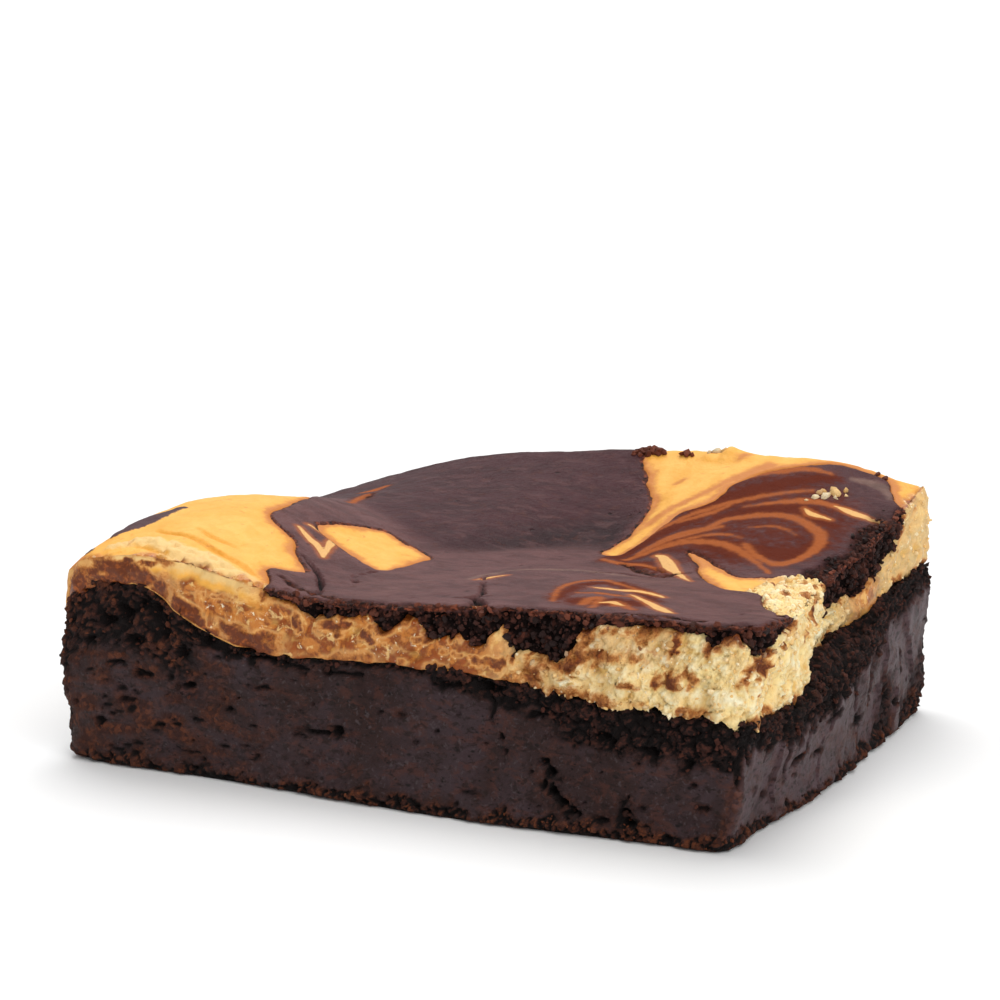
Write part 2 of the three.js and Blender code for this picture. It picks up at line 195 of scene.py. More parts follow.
PALE_CREST = [
    ([(-36.5, -31.5), (-32.2, -30.4), (-26.7, -32.2), (-22.4, -32.5), (-18.2, -33.3), (-15.5, -34)],
      (0.6, 1.9, 1.2)),
]
OCHRE_FOLDS = [
    ([(-33.5, -26.6), (-31.8, -27.3), (-27.4, -28), (-24.1, -29.2), (-19.8, -30.1), (-17.4, -31.4)],
      (0.2, 0.5, 0.3)),
    ([(-29, -25.2), (-25.4, -26.4), (-22, -26.8)], (0.1, 0.35, 0.1)),
    ([(-33, -31.8), (-28, -33)], (0.1, 0.3, 0.2)),
]
DARK_ISLANDS = [
    ([(-38.8, -27.4), (-37.2, -23), (-36.0, -18.2)], (0.7, 1.9, 1.1)),
    ([(-21.6, -14.2), (-20.4, -13)], (0.5, 0.3, 0.3)),
    ([(-39.8, -31.6), (-39.2, -30.6)], (0.3, 0.4, 0.2)),
]
BROWN_SPOTS = [
    ([(3.4, 24.5), (6.4, 21.4), (8.4, 18.2)], (0.6, 0.5, 0.3)),
    ([(11.6, 24.6), (12.2, 25.4)], (0.3, 0.5, 0.3)),
    ([(17.8, 30), (18.6, 31)], (0.5, 0.6, 0.5)),
    ([(12.4, 13.6), (13.6, 16.6), (16.4, 20.4), (19, 24.6), (22.4, 28.6)], (0.8, 0.7, 1.0)),
    ([(-41.5, -32), (-39.1, -34), (-36.7, -33.6)], (1.4, 1.2, 0.4)),
]

# The dark band under the skin: how deep it reaches along the long cut (by x) and the short cut (by y)

FRONT_BAND = [
    (-16, 0.7), (-10.8, 0.9), (-8.2, 1.8), (-4.3, 2.0), (-1.9, 1.2), (-0.9, 1.2), (0.4, 2.7), (2.2, 2.0),
    (3.0, 1.4), (4.8, 1.4), (6.0, 3.5), (9.0, 3.8), (12.4, 4.2), (14.1, 2.0), (15.2, 4.8), (17.0, 5.9),
    (19.5, 6.0), (21.6, 5.2), (22.6, 1.9), (24.5, 1.0), (33.5, 0.9), (35.6, 1.3), (37.0, 2.6),
    (38.0, 1.3), (39.6, 1.1), (41.0, 2.2), (43, 2.3),
]
SIDE_BAND = [
    (-35, 2.2), (-31, 2.0), (-28, 1.0), (-8, 0.8), (-3, 2.4), (2, 4.6), (8, 5.2), (14, 4.8), (19, 3.6),
    (24, 1.8), (27, 0.9),
]

# Ragged lumps along the back rim and loose ones on top: x, y, radius, warmth

RIM_LUMPS = [
    (3.1, 31.1, 0.6, 0.5), (3.8, 31.6, 0.9, 0.4), (4.6, 31.8, 1.0, 0.5), (5.5, 31.6, 0.8, 0.6),
    (6.3, 31.6, 0.7, 0.4), (7.1, 31.4, 0.5, 0.5), (3.9, 30.7, 0.55, 0.5), (5.0, 30.8, 0.6, 0.4),
    (4.3, 32.3, 0.7, 0.5), (5.3, 32.2, 0.6, 0.3), (9.8, 31.2, 0.45, 0.5), (10.5, 31.0, 0.6, 0.5),
    (11.2, 30.9, 0.4, 0.5), (36.2, 31.4, 0.5, 0.3), (37.4, 30.8, 0.4, 0.3),
]

# Lumps of cheese on the back rim and along the broken places, the same way

CHEESE_LUMPS = [
    (30.8, 20.4, 0.4, 0.3), (31.6, 21.4, 0.6, 0.2), (32.6, 22.2, 0.75, 0.3), (33.6, 23.4, 0.6, 0.1),
    (32.0, 23.2, 0.6, 0.4), (34.4, 24.6, 0.5, 0.2), (33.0, 24.4, 0.55, 0.3), (31.6, 22.6, 0.45, 0.5),
    (34.8, 23.6, 0.4, 0.2), (33.9, 22.4, 0.45, 0.3), (13.4, 31.6, 0.5, 0.5), (14.4, 31.9, 0.7, 0.3),
    (15.4, 31.8, 0.6, 0.4), (16.4, 31.6, 0.7, 0.2), (17.4, 31.4, 0.5, 0.5),
]

# Chocolate dragged over the cut cheese: place along the cut, height, half-width, half-height, strength

FRONT_STAINS = [
    (-14.6, 22.4, 0.45, 1.8, 0.7), (-10.4, 19.4, 0.8, 1.8, 0.8), (-5.2, 19.2, 2.2, 1.0, 0.95),
    (-1.4, 18.8, 1.6, 1.1, 0.9), (-7.4, 18.2, 1.0, 0.7, 0.7), (2.6, 17.6, 1.4, 0.7, 0.6),
    (5.4, 18.9, 1.2, 0.6, 0.7), (9.5, 17.6, 2.2, 0.8, 0.6), (13.6, 17.0, 2.4, 0.9, 0.8),
    (17.4, 16.2, 2.2, 0.6, 0.7), (23.4, 17.4, 1.4, 1.2, 0.8), (25.0, 21.2, 1.6, 1.2, 0.7),
    (28.6, 22.0, 1.8, 0.8, 0.6), (31.6, 21.4, 1.5, 1.0, 0.5), (35.2, 20.8, 0.8, 2.0, 0.95),
    (36.6, 18.6, 0.6, 1.0, 0.6), (34.6, 17.0, 2.2, 0.8, 0.9), (30.2, 16.4, 1.2, 0.5, 0.6),
    (27.0, 18.8, 1.5, 1.2, 0.6), (31.0, 19.2, 1.2, 0.7, 0.5), (24.4, 19.4, 1.2, 1.4, 0.75),
    (37.4, 17.6, 0.8, 1.6, 0.6), (40.2, 21.2, 1.6, 0.8, 0.7), (-21.0, 21.4, 2.6, 0.7, 0.6),
    (-29.2, 24.6, 1.6, 0.5, 0.8), (-32.6, 24.6, 1.2, 0.6, 0.9), (-37.6, 22.4, 0.6, 1.2, 0.5),
]
SIDE_STAINS = [
    (-29.5, 19.6, 2.2, 2.6, 0.9), (-24.5, 21.4, 1.0, 1.6, 0.7), (-20.0, 21.8, 1.4, 0.8, 0.6),
    (-14.0, 19.6, 1.6, 0.7, 0.7), (-9.6, 20.8, 1.6, 1.2, 0.8), (-3.5, 22.4, 3.6, 1.4, 0.95),
    (2.0, 21.4, 2.4, 1.0, 0.8), (8.0, 22.2, 2.0, 0.6, 0.5), (16.0, 23.4, 2.4, 0.6, 0.5),
    (22.0, 24.0, 0.8, 1.8, 0.5), (27.0, 27.2, 1.2, 0.8, 0.5),
]

# Tears and hollows in the long cut of the base: place along the cut, height, half-width, half-height, depth

FRONT_TEARS = [
    (-7.2, 7.2, 2.6, 0.26, 0.7), (-4.2, 7.5, 1.5, 0.5, 1.1), (-9.6, 6.6, 1.0, 0.2, 0.5),
    (-14.5, 11.4, 1.6, 0.24, 0.6), (-19.2, 8.4, 1.0, 0.3, 0.7), (-24.4, 10.6, 1.3, 0.32, 0.8),
    (-28.2, 5.6, 1.4, 0.32, 0.8), (-33.5, 8.0, 1.5, 0.4, 0.8), (-31.0, 11.4, 1.2, 0.4, 0.8),
    (-36.6, 5.2, 1.0, 0.4, 0.8), (-25.0, 2.8, 1.4, 0.3, 0.6), (-16.5, 4.4, 1.1, 0.25, 0.5),
    (21.0, 7.2, 0.5, 0.4, 0.8), (21.9, 6.2, 0.5, 0.4, 0.9), (21.4, 5.0, 0.4, 0.5, 0.8),
    (22.7, 4.3, 0.6, 0.4, 1.1), (24.0, 3.4, 0.8, 0.5, 1.4), (25.1, 2.6, 0.7, 0.5, 1.2),
    (22.6, 2.9, 0.4, 0.3, 0.7), (23.2, 5.6, 0.4, 0.3, 0.6), (30.8, 3.0, 0.8, 0.9, 1.0),
    (31.9, 1.9, 1.4, 0.5, 1.2), (28.6, 1.9, 0.9, 0.35, 0.7), (12.4, 3.0, 1.0, 0.3, 0.5),
    (33.4, 9.4, 1.1, 0.7, 1.0), (27.4, 10.4, 1.3, 0.6, 0.9), (37.4, 9.0, 0.6, 0.8, 0.8),
    (19.4, 12.0, 1.0, 0.5, 0.8), (8.6, 14.2, 2.2, 0.35, 0.8), (13.6, 14.4, 2.4, 0.5, 1.1),
    (3.0, 10.2, 0.9, 0.25, 0.5), (39.6, 4.4, 0.6, 0.4, 0.6),
]
FRONT_HOLES = [
    (-35.6, 17.4, 1.3, 0.9, 1.5), (-33.0, 18.6, 1.6, 1.1, 1.6), (-29.4, 19.6, 1.6, 0.7, 1.3),
    (-31.6, 15.4, 1.1, 0.8, 1.2), (-37.8, 14.8, 0.9, 0.8, 1.0), (-27.4, 16.8, 0.8, 1.2, 1.2),
    (-25.2, 14.6, 0.9, 0.7, 1.0), (-34.4, 12.4, 1.0, 0.5, 0.9),
]

# Cracks in the long cut, drawn as strokes along the cut and up

FRONT_CRACKS = [
    ([(13.2, 14.8), (14.3, 12.4), (14.4, 10.8), (15.6, 9.2), (16.2, 7.4), (16.0, 5.6)], (0.2, 0.1, 0.02)),
    ([(21.2, 7.6), (22.2, 6.0), (22.4, 4.6), (23.8, 3.4), (25.8, 2.4)], (0.05, 0.14, 0.1)),
    ([(31.2, 4.6), (30.6, 3.2), (31.8, 2.0), (33.6, 1.8)], (0.05, 0.15, 0.1)),
    ([(-12.2, 14.6), (-8.0, 14.0), (-2.0, 14.2)], (0.1, 0.25, 0.1)),
    ([(-24.6, 19.0), (-22.4, 16.6), (-18.4, 15.4), (-13.0, 14.8)], (0.5, 0.8, 0.3)),
]

# Tears and cracks in the short cut, the same way

SIDE_TEARS = [
    (-20.8, 11.0, 0.35, 2.0, 0.8), (-20.0, 7.5, 0.3, 1.6, 0.7), (-16.2, 6.2, 1.6, 0.3, 0.8),
    (-13.8, 8.4, 0.35, 1.8, 0.7), (-10.0, 5.4, 1.2, 0.35, 0.8), (-7.0, 10.8, 0.5, 1.8, 1.0),
    (-5.8, 8.6, 1.2, 0.45, 0.9), (-2.0, 13.0, 1.6, 0.6, 1.0), (1.5, 11.0, 0.5, 1.4, 0.9),
    (4.0, 6.0, 1.5, 0.45, 0.9), (8.5, 9.0, 0.5, 1.5, 0.9), (12.0, 12.5, 1.8, 0.7, 1.0),
    (15.0, 6.0, 1.4, 0.6, 1.0), (20.0, 4.5, 1.4, 0.5, 0.9), (22.0, 9.0, 0.6, 1.2, 0.8),
    (-26.0, 9.5, 0.3, 1.2, 0.6), (-28.5, 5.5, 0.5, 0.35, 0.6), (-24.0, 4.0, 0.7, 0.35, 0.7),
    (-30.5, 12.0, 0.5, 0.4, 0.7), (-17.5, 12.6, 0.8, 0.5, 0.9),
]
SIDE_CRACKS = [
    ([(-21.4, 13.5), (-20.6, 10), (-20.4, 6.5), (-19.2, 4.6)], (0.1, 0.22, 0.1)),
    ([(-18.0, 6.6), (-15.0, 6.3), (-13.9, 9.6)], (0.1, 0.2, 0.1)),
    ([(-8.2, 13.4), (-6.8, 10), (-7.2, 7.4)], (0.15, 0.25, 0.1)),
    ([(0.5, 13), (1.6, 9.4), (3.4, 6.2), (7, 4.4)], (0.1, 0.2, 0.1)),
]


def ramp(a, b, x):
    """Rises smoothly from 0 at a to 1 at b, 3t^2 - 2t^3 in between; a may be the larger."""
    t = np.clip((x - a) / (b - a), 0.0, 1.0)
    return t * t * (3.0 - 2.0 * t)


def bell(t):
    """A bell of height 1 and half-width 1, exp(-t^2)."""
    return np.exp(-np.square(t))


def rounding(distance, radius):
    """How far a rounded edge has fallen back at a distance from its side, r - sqrt(r^2 - d^2)."""
    t = np.clip(1.0 - distance / radius, 0.0, 1.0)
    return radius * (1.0 - np.sqrt(1.0 - 0.93 * t * t))


# Heights of the layers: the same functions as the solids

def crease(x):
    """Where along y the rim starts to rise: a line that bends forward on the left, and a bell round x = 6."""
    return -3.0 + 0.62 * np.maximum(0.0, -9.0 - x) + 13.0 * bell((x - 6.0) / 9.0)


def rim_rise(x, y):
    """Rise of the back rim: a height along x, times a share of the way from the crease to the back, ^1.15."""
    full = 9.2 * (1.0 - np.exp(-((np.maximum(0.0, x + 44.0) / 20.0) ** 1.5)))
    height = full - 1.8 * ramp(28, 42, x)
    start = crease(x)
    return height * np.clip((y - start) / (32.0 - start), 0.0, 1.1) ** 1.15


def cake_top(x, y):
    """Top surface: floor + hump + swell + rim + near corner - rounded tin edges."""
    outer = 15.0 + 8.0 * ramp(-34, -22, y)
    hump = 7.0 * bell((x + 30.0) / np.where(x < -30.0, outer, 14.5)) * bell((y + 13.0) / 28.0)
    swell = 2.1 * bell((x - 24.0) / 24.0) * (1.0 - 0.5 * ramp(-30, 10, y))
    corner = 1.2 * bell((x - 42.0) / 5.0) * bell((y + 34.0) / 8.0)
    edges = 0.7 * rounding(x + HALF_LENGTH, 4.0) + rounding(HALF_DEPTH - y, 3.0)
    return FLOOR_HEIGHT + hump + swell + rim_rise(x, y) + corner - edges


def base_top(x, y):
    """Top of the chocolate base, kept a little under the cake's top by a rounded minimum."""
    hump = 9.6 * bell((x + 33.5) / 10.3) * bell((y + 13.0) / 45.0)
    swell = 0.9 * bell((x - 4.0) / 13.0) * bell((y + 34.0) / 20.0)
    sag = 1.1 * ramp(8, 30, x) * ramp(0, -34, y)
    back = 4.4 * ramp(-10, 34, y)
    ledge = 2.4 * ramp(38, 42, x) * bell((y + 12.0) / 17.0)
    edges = 0.5 * rounding(x + HALF_LENGTH, 5.0) + 0.6 * rounding(HALF_DEPTH - y, 4.0)
    height = BASE_HEIGHT + hump + swell + back - sag - edges - ledge
    limit = cake_top(x, y) - LEAST_CHEESE
    return 0.5 * (height + limit - np.hypot(height - limit, 1.5))


def skin_depth(x, y):
    """Depth of the skin and the dark band under it, between the places noted along the two cuts."""
    front = np.interp(x, *zip(*FRONT_BAND))
    side = np.interp(y, *zip(*SIDE_BAND))
    near_front, near_side = ramp(-27, -33, y), ramp(34, 41, x) * ramp(-33.6, -32.6, y)
    return SKIN_THICKNESS + near_front * (front - SKIN_THICKNESS) + near_side * (side - SKIN_THICKNESS)


# Noise, worked out from whole-number cells so that it is the same on every run

def cell_value(cell, seed):
    """A repeatable number from 0 to 1 for each whole-number cell, by mixing its bits."""
    c = cell.astype(np.int64).astype(np.uint64)
    n = c[..., 0] * np.uint64(73856093) ^ c[..., 1] * np.uint64(19349663) ^ c[..., 2] * np.uint64(83492791)
    n = (n ^ np.uint64(seed * 40503 + 977)) & np.uint64(0xFFFFFFFF)
    n = ((n ^ (n >> np.uint64(15))) * np.uint64(2246822519)) & np.uint64(0xFFFFFFFF)
    n = ((n ^ (n >> np.uint64(13))) * np.uint64(3266489917)) & np.uint64(0xFFFFFFFF)
    return (n ^ (n >> np.uint64(16))).astype(np.float64) / 4294967296.0


def lumps(p, size, seed=0):
    """Smooth lumps from -1 to 1 of that size: cell values blended by 3t^2 - 2t^3 along each axis."""
    q = p / np.asarray(size, float)
    cell = np.floor(q)
    f = q - cell
    f = f * f * (3.0 - 2.0 * f)
    total = np.zeros(len(p))
    for corner in itertools.product((0, 1), repeat=3):
        weight = np.prod(np.where(corner, f, 1.0 - f), axis=1)
        total += weight * cell_value(cell + corner, seed)
    return 2.0 * total - 1.0


def rough(p, size, octaves, seed=0):
    """Lumps of several sizes, each half as large and half as strong as the last."""
    size = np.asarray(size, float)
    return sum(lumps(p, size / 2**k, seed + 31 * k) / 2**k for k in range(octaves))


def cells(p, size, seed=0):
    """Distances to the nearest and second nearest scattered point, in cells, and the nearest's number."""
    q = p / np.asarray(size, float)
    cell = np.floor(q)
    near, second, pick = np.full(len(p), 9.0), np.full(len(p), 9.0), np.zeros(len(p))
    for step in itertools.product((-1, 0, 1), repeat=3):
        other = cell + step
        point = other + np.stack([cell_value(other, seed + k) for k in (1, 2, 3)], axis=1)
        d = np.linalg.norm(q - point, axis=1)
        closer = d < near
        second = np.where(closer, near, np.minimum(second, d))
        pick = np.where(closer, cell_value(other, seed + 4), pick)
        near = np.minimum(near, d)
    return near, second, pick


def granules(p, size, seed=0):
    """Relief of broken crumb in millimetres: rounded grains that stand out unequally, with gaps in between.
    Also gives each grain's number and how deep in a gap a point lies."""
    shift = np.stack([lumps(p, np.multiply(size, 0.8), seed + k) for k in (5, 6, 7)], axis=1)
    near, second, pick = cells(p + 0.32 * np.multiply(size, shift), size, seed)
    gap = ramp(0.2, 0.0, second - near)
    scale = float(np.mean(size))
    return scale * (0.5 * (0.55 - near) + 0.42 * (pick - 0.5) - 0.25 * gap), pick, gap


def pits(p, size, radius, share, seed=0):
    """Round-bottomed pits, 0 to 1 deep, at a share of the scattered points; radius is in cells."""
    near, _, pick = cells(p, size, seed)
    reach = radius * (0.5 + pick / share)
    return np.where(pick < share, ramp(1.0, 0.25, near / reach), 0.0)


# Outlines and strokes in plan

def closed_curve(corners, steps=6):
    """Points of the smooth closed curve through the corners: cubic spans with centripetal tangents."""
    p1 = np.array(corners, float)
    p0, p2, p3 = np.roll(p1, 1, axis=0), np.roll(p1, -1, axis=0), np.roll(p1, -2, axis=0)
    d0, d1, d2 = (np.sqrt(np.linalg.norm(b - a, axis=1))[:, None] for a, b in ((p0, p1), (p1, p2), (p2, p3)))
    m1 = ((p1 - p0) / d0 - (p2 - p0) / (d0 + d1) + (p2 - p1) / d1) * d1
    m2 = ((p2 - p1) / d1 - (p3 - p1) / (d1 + d2) + (p3 - p2) / d2) * d1
    t = (np.arange(steps) / steps)[None, :, None]
    a, b, m, n = p1[:, None], p2[:, None], m1[:, None], m2[:, None]
    h = 2 * t**3 - 3 * t**2
    points = (h + 1) * a + (t**3 - 2 * t**2 + t) * m - h * b + (t**3 - t**2) * n
    return points.reshape(-1, 2)


def to_segments(xy, a, b):
    """For each point, its distance to each segment from a to b, and how far along it the foot lies."""
    ab = b - a
    ap = xy[:, None] - a
    t = np.clip((ap * ab).sum(2) / np.maximum((ab * ab).sum(1), 1e-9), 0.0, 1.0)
    return np.linalg.norm(ap - t[..., None] * ab, axis=2), t


def inside_by(xy, outline):
    """Signed distance to a closed outline, positive inside, by counting the edges crossed along +x."""
    a, b = outline, np.roll(outline, -1, axis=0)
    out = np.empty(len(xy))
    for start in range(0, len(xy), 20000):
        part = xy[start:start + 20000]
        distance = to_segments(part, a, b)[0].min(axis=1)
        y = part[:, 1:]
        across = (a[:, 1] > y) != (b[:, 1] > y)
        rise = np.where(b[:, 1] == a[:, 1], 1e-9, b[:, 1] - a[:, 1])
        crossing = a[:, 0] + (y - a[:, 1]) * (b[:, 0] - a[:, 0]) / rise
        odd = (across & (part[:, :1] < crossing)).sum(axis=1) % 2 == 1
        out[start:start + 20000] = np.where(odd, distance, -distance)
    return out


def skin_inside(xy):
    """Signed distance to the edge of the chocolate skin in plan: its outline less the tongue of cheese."""
    wobble = np.column_stack([xy, np.zeros(len(xy))])
    ragged = 0.22 * lumps(wobble, 1.9, 5) + 0.1 * lumps(wobble, 0.8, 6)
    sheet = inside_by(xy, closed_curve(SHEET_OUTLINE))
    tongue = inside_by(xy, closed_curve(CHEESE_TONGUE))
    return np.minimum(sheet, -tongue) + ragged


def stroke_inside(xy, strokes):
    """Largest of (half-width - distance) over the strokes, each smoothed by a spline of short segments."""
    best = np.full(len(xy), -9.0)
    for points, (start, middle, end) in strokes:
        p = np.array(points, float)
        along = np.linspace(0, len(p) - 1, 8 * len(p))
        smoothed = np.column_stack([smooth_path(p[:, k], along) for k in (0, 1)])
        near = np.linalg.norm(xy - smoothed.mean(axis=0), axis=1) < 6 + np.ptp(smoothed, axis=0).max()
        d, t = to_segments(xy[near], smoothed[:-1], smoothed[1:])
        first = d.argmin(axis=1)
        share = (first + t[np.arange(len(first)), first]) / (len(smoothed) - 1)
        width = np.interp(share, [0, 0.5, 1], [start, middle, end])
        best[near] = np.maximum(best[near], width - d.min(axis=1))
    return best


def smooth_path(values, at):
    """Values at fractional positions along a list, by cubic spans with averaged slopes."""
    k = np.clip(at.astype(int), 0, len(values) - 2)
    t = at - k
    slope = np.gradient(values)
    a, b, m, n = values[k], values[k + 1], slope[k], slope[k + 1]
    h = 2 * t**3 - 3 * t**2
    return (h + 1) * a + (t**3 - 2 * t**2 + t) * m - h * b + (t**3 - t**2) * n


# Blocks: a loop round the cake, carried up its sides, and closed by a top and an underside

def round_corner(x, y, corners):
    """Presses the square at each corner of the footprint into a quarter disc."""
    r = corners[(y > 0) * 2 + (x > 0)]
    p, q = np.abs(x) - (HALF_LENGTH - r), np.abs(y) - (HALF_DEPTH - r)
    both = (p > 0) & (q > 0)
    px = np.where(both, p * np.sqrt(np.maximum(0.0, 1 - q * q / (2 * r * r))), p)
    qy = np.where(both, q * np.sqrt(np.maximum(0.0, 1 - p * p / (2 * r * r))), q)
    return np.sign(x) * (HALF_LENGTH - r + px), np.sign(y) * (HALF_DEPTH - r + qy)


def shape_sides(x, y, z, is_base):
    """Moves points of the upright block to their place: the cuts lean in proportion to the height, the tin
    sides bulge by a bell, the short cut bulges in the base and draws in above it, and lumps make crags."""
    left = ramp(SIDE_REACH - HALF_LENGTH, -HALF_LENGTH, x)
    right = ramp(HALF_LENGTH - SIDE_REACH, HALF_LENGTH, x)
    front = ramp(SIDE_REACH - HALF_DEPTH, -HALF_DEPTH, y)
    back = ramp(HALF_DEPTH - SIDE_REACH, HALF_DEPTH, y)
    share = z / LEAN_HEIGHT
    out = share * (3.4 - 2.6 * ramp(-34, 20, y))
    backwards = share * (3.4 - 3.0 * ramp(42, -42, x))
    tin = rounding(z, 3.0) - 1.7 * bell((z - 12.0) / 7.0)
    foot = rounding(z, 0.5)
    flared = bell((x - 10.0) / 20.0) * ramp(9, 0, z)
    sideways = 1.7 * bell((y + 3.0) / 20.0) if is_base else -0.5 - 2.9 * bell((y + 1.0) / 10.0)
    p = np.stack([x, y, z], axis=-1).reshape(-1, 3)
    crags = (0.4 * lumps(p, 5.0, 1) + 0.2 * lumps(p, 2.6, 2)).reshape(x.shape) * ramp(0, 2, z)
    px = x + out * ramp(0, HALF_LENGTH, x) + left * (tin - crags) + right * (sideways + crags - foot)
    py = y + backwards * ramp(10, -34, y) - front * (1.8 * flared + crags - foot) + back * (crags - tin)
    return np.stack([px, py, z], axis=-1)


def footprint(columns, rows):
    """Rows of x and y over the footprint, closer together towards the near corner."""
    u, v = np.linspace(-1, 1, columns + 1), np.linspace(-1, 1, rows + 1)
    x = HALF_LENGTH * (u + 0.14 * (1 - u * u))
    y = HALF_DEPTH * (v - 0.16 * (1 - v * v))
    return np.meshgrid(x, y, indexing="ij")


def rim_of(grid):
    """The rim of a grid as one loop: front, right, back, left, anticlockwise seen from above."""
    return np.concatenate([grid[:-1, 0], grid[-1, :-1], grid[:0:-1, -1], grid[0, :0:-1]])


def quads_between(lower, upper):
    """Faces between two loops of vertex numbers, facing outwards for anticlockwise loops."""
    return np.stack([lower, np.roll(lower, -1), np.roll(upper, -1), upper], axis=1)


def cake_block(floor, levels, is_base, corners, fine_top, tuck=0.0):
    """A closed block between floor(x, y) and the layer's top: a top of rows and columns, or of rings drawn in
    from the rim; side loops at equal shares of the height; and rings that close the underside, the lowest
    loop of the sides drawn in by the tuck.
    Returns the points before relief, their block coordinates, what part each belongs to, and the faces."""
    detail = 1
    levels = levels // detail
    gx, gy = footprint(COLUMNS // detail, ROWS // detail)
    top_of = base_top if is_base else cake_top
    faces = []
    if fine_top:
        x, y = round_corner(gx, gy, corners)
        numbers = np.arange(x.size).reshape(x.shape)
        flat_x, flat_y, flat_z = x.ravel(), y.ravel(), top_of(x, y).ravel()
        quads = [numbers[:-1, :-1], numbers[1:, :-1], numbers[1:, 1:], numbers[:-1, 1:]]
        faces.append(np.stack(quads, axis=2).reshape(-1, 4))
        loop = rim_of(numbers)
        parts = [(flat_x, flat_y, flat_z, np.ones(x.size))]
        bx, by = flat_x[loop], flat_y[loop]
    else:
        bx, by = round_corner(rim_of(gx), rim_of(gy), corners)
        parts, loop = [], None
    count = sum(len(p[0]) for p in parts)
    n = len(bx)

    def add_loop(x, y, z, share):
        """Adds one loop of points, and gives their numbers."""
        nonlocal count
        parts.append((x, y, z, np.full(n, share)))
        count += n
        return np.arange(count - n, count)

    if not fine_top:
        inner = None
        for inset in TOP_INSETS:
            sx, sy = bx * (1 - inset / HALF_LENGTH), by * (1 - inset / HALF_DEPTH)
            ring = add_loop(sx, sy, top_of(sx, sy), 1.0)
            if inner is None:
                middle = np.full(n, count)
                parts.append((np.zeros(1), np.zeros(1), top_of(np.zeros(1), np.zeros(1)), np.ones(1)))
                count += 1
                faces.append(np.stack([ring, np.roll(ring, -1), middle, middle], axis=1))
            else:
                faces.append(quads_between(ring, inner))
            inner = ring
        loop = inner
    roof, bottom = top_of(bx, by), floor(bx, by)
    for k in range(1, levels + 1):
        share = 1 - k / levels
        inside = 1.0 if k < levels else 1 - tuck / HALF_LENGTH
        ring = add_loop(bx * inside, by * inside, bottom + (roof - bottom) * share, share)
        faces.append(quads_between(ring, loop))
        loop = ring
    for ring_scale in UNDERSIDE_RINGS:
        scale = ring_scale * (1 - tuck / HALF_LENGTH)
        ring = add_loop(bx * scale, by * scale, floor(bx * scale, by * scale), -1.0)
        faces.append(quads_between(ring, loop))
        loop = ring
    middle = np.full(n, count)
    parts.append((np.zeros(1), np.zeros(1), floor(np.zeros(1), np.zeros(1)), np.full(1, -1.0)))
    faces.append(np.stack([np.roll(loop, -1), loop, middle, middle], axis=1))
    x, y, z, share = (np.concatenate([p[k] for p in parts]) for k in range(4))
    return shape_sides(x, y, z, is_base), np.column_stack([x, y]), share, np.concatenate(faces)


def normals_of(points, faces):
    """Unit normals at the points, from the cross products of the faces' diagonals."""
    a, b, c, d = (points[faces[:, k]] for k in range(4))
    face = np.cross(c - a, d - b)
    out = np.zeros_like(points)
    for corner in range(4):
        for axis in range(3):
            out[:, axis] += np.bincount(faces[:, corner], face[:, axis], len(points))
    return out / np.maximum(np.linalg.norm(out, axis=1), 1e-9)[:, None]


def outward(points, faces, share):
    """Normals of a block, nearly level on its sides, and how far each point faces the long cut, the short cut
    and the tin, 0 to 1 each."""
    normals = normals_of(points, faces)
    normals[:, 2] *= np.where((share >= 0) & (share < 1), 0.25, 1.0)
    normals /= np.maximum(np.linalg.norm(normals, axis=1), 1e-9)[:, None]
    level = normals[:, :2] / np.maximum(np.linalg.norm(normals[:, :2], axis=1), 1e-9)[:, None]
    nx, ny = level.T
    tin = np.maximum(ramp(0.35, 0.8, -nx), ramp(0.35, 0.8, ny))
    return normals, ramp(0.35, 0.8, -ny), ramp(0.35, 0.8, nx), tin


def drawn_in(points, plan, inward, down, tin):
    """Points moved inwards beside the cut sides, and beside the tin where tin is 1, and down."""
    x, y = plan.T
    moved = points.copy()
    moved[:, 0] -= inward * (ramp(6, 0, HALF_LENGTH - x) - tin * ramp(6, 0, HALF_LENGTH + x))
    moved[:, 1] += inward * (ramp(6, 0, HALF_DEPTH + y) - tin * ramp(6, 0, HALF_DEPTH - y))
    moved[:, 2] -= down
    return moved


def new_piece(name, points, faces, masks, material, smooth=True):
    """A smooth-shaded mesh object at the origin, from points in millimetres and faces of four numbers; a
    face whose last two numbers are alike is a triangle. Masks become float attributes of the points."""
    mesh = bpy.data.meshes.new(name)
    sizes = np.where(faces[:, 2] == faces[:, 3], 3, 4)
    corners = faces[np.arange(4)[None, :] < sizes[:, None]]
    mesh.vertices.add(len(points))
    mesh.vertices.foreach_set("co", (points * MM).astype(np.float32).ravel())
    mesh.loops.add(len(corners))
    mesh.loops.foreach_set("vertex_index", corners.astype(np.int32))
    mesh.polygons.add(len(faces))
    mesh.polygons.foreach_set("loop_start", np.concatenate([[0], np.cumsum(sizes)[:-1]]).astype(np.int32))
    mesh.update(calc_edges=True)
    mesh.polygons.foreach_set("use_smooth", np.full(len(faces), smooth))
    for mask, values in masks.items():
        layer = mesh.attributes.new(mask, "FLOAT", "POINT")
        layer.data.foreach_set("value", np.asarray(values, np.float32))
    if mesh.validate():
        raise RuntimeError(name + " has faulty faces")
    mesh.materials.append(material)
    piece = bpy.data.objects.new(name, mesh)
    bpy.context.scene.collection.objects.link(piece)
    return piece


# Shader nodes

def put(tree, kind, inputs=None, **settings):
    """Adds a node, sets its settings, and sets or links its inputs by name or number."""
    node = tree.nodes.new("ShaderNode" + kind)
    for key, value in settings.items():
        setattr(node, key, value)
    for key, value in (inputs or {}).items():
        socket = node.inputs[key]
        if isinstance(value, bpy.types.NodeSocket):
            tree.links.new(value, socket)
        else:
            socket.default_value = value
    return node


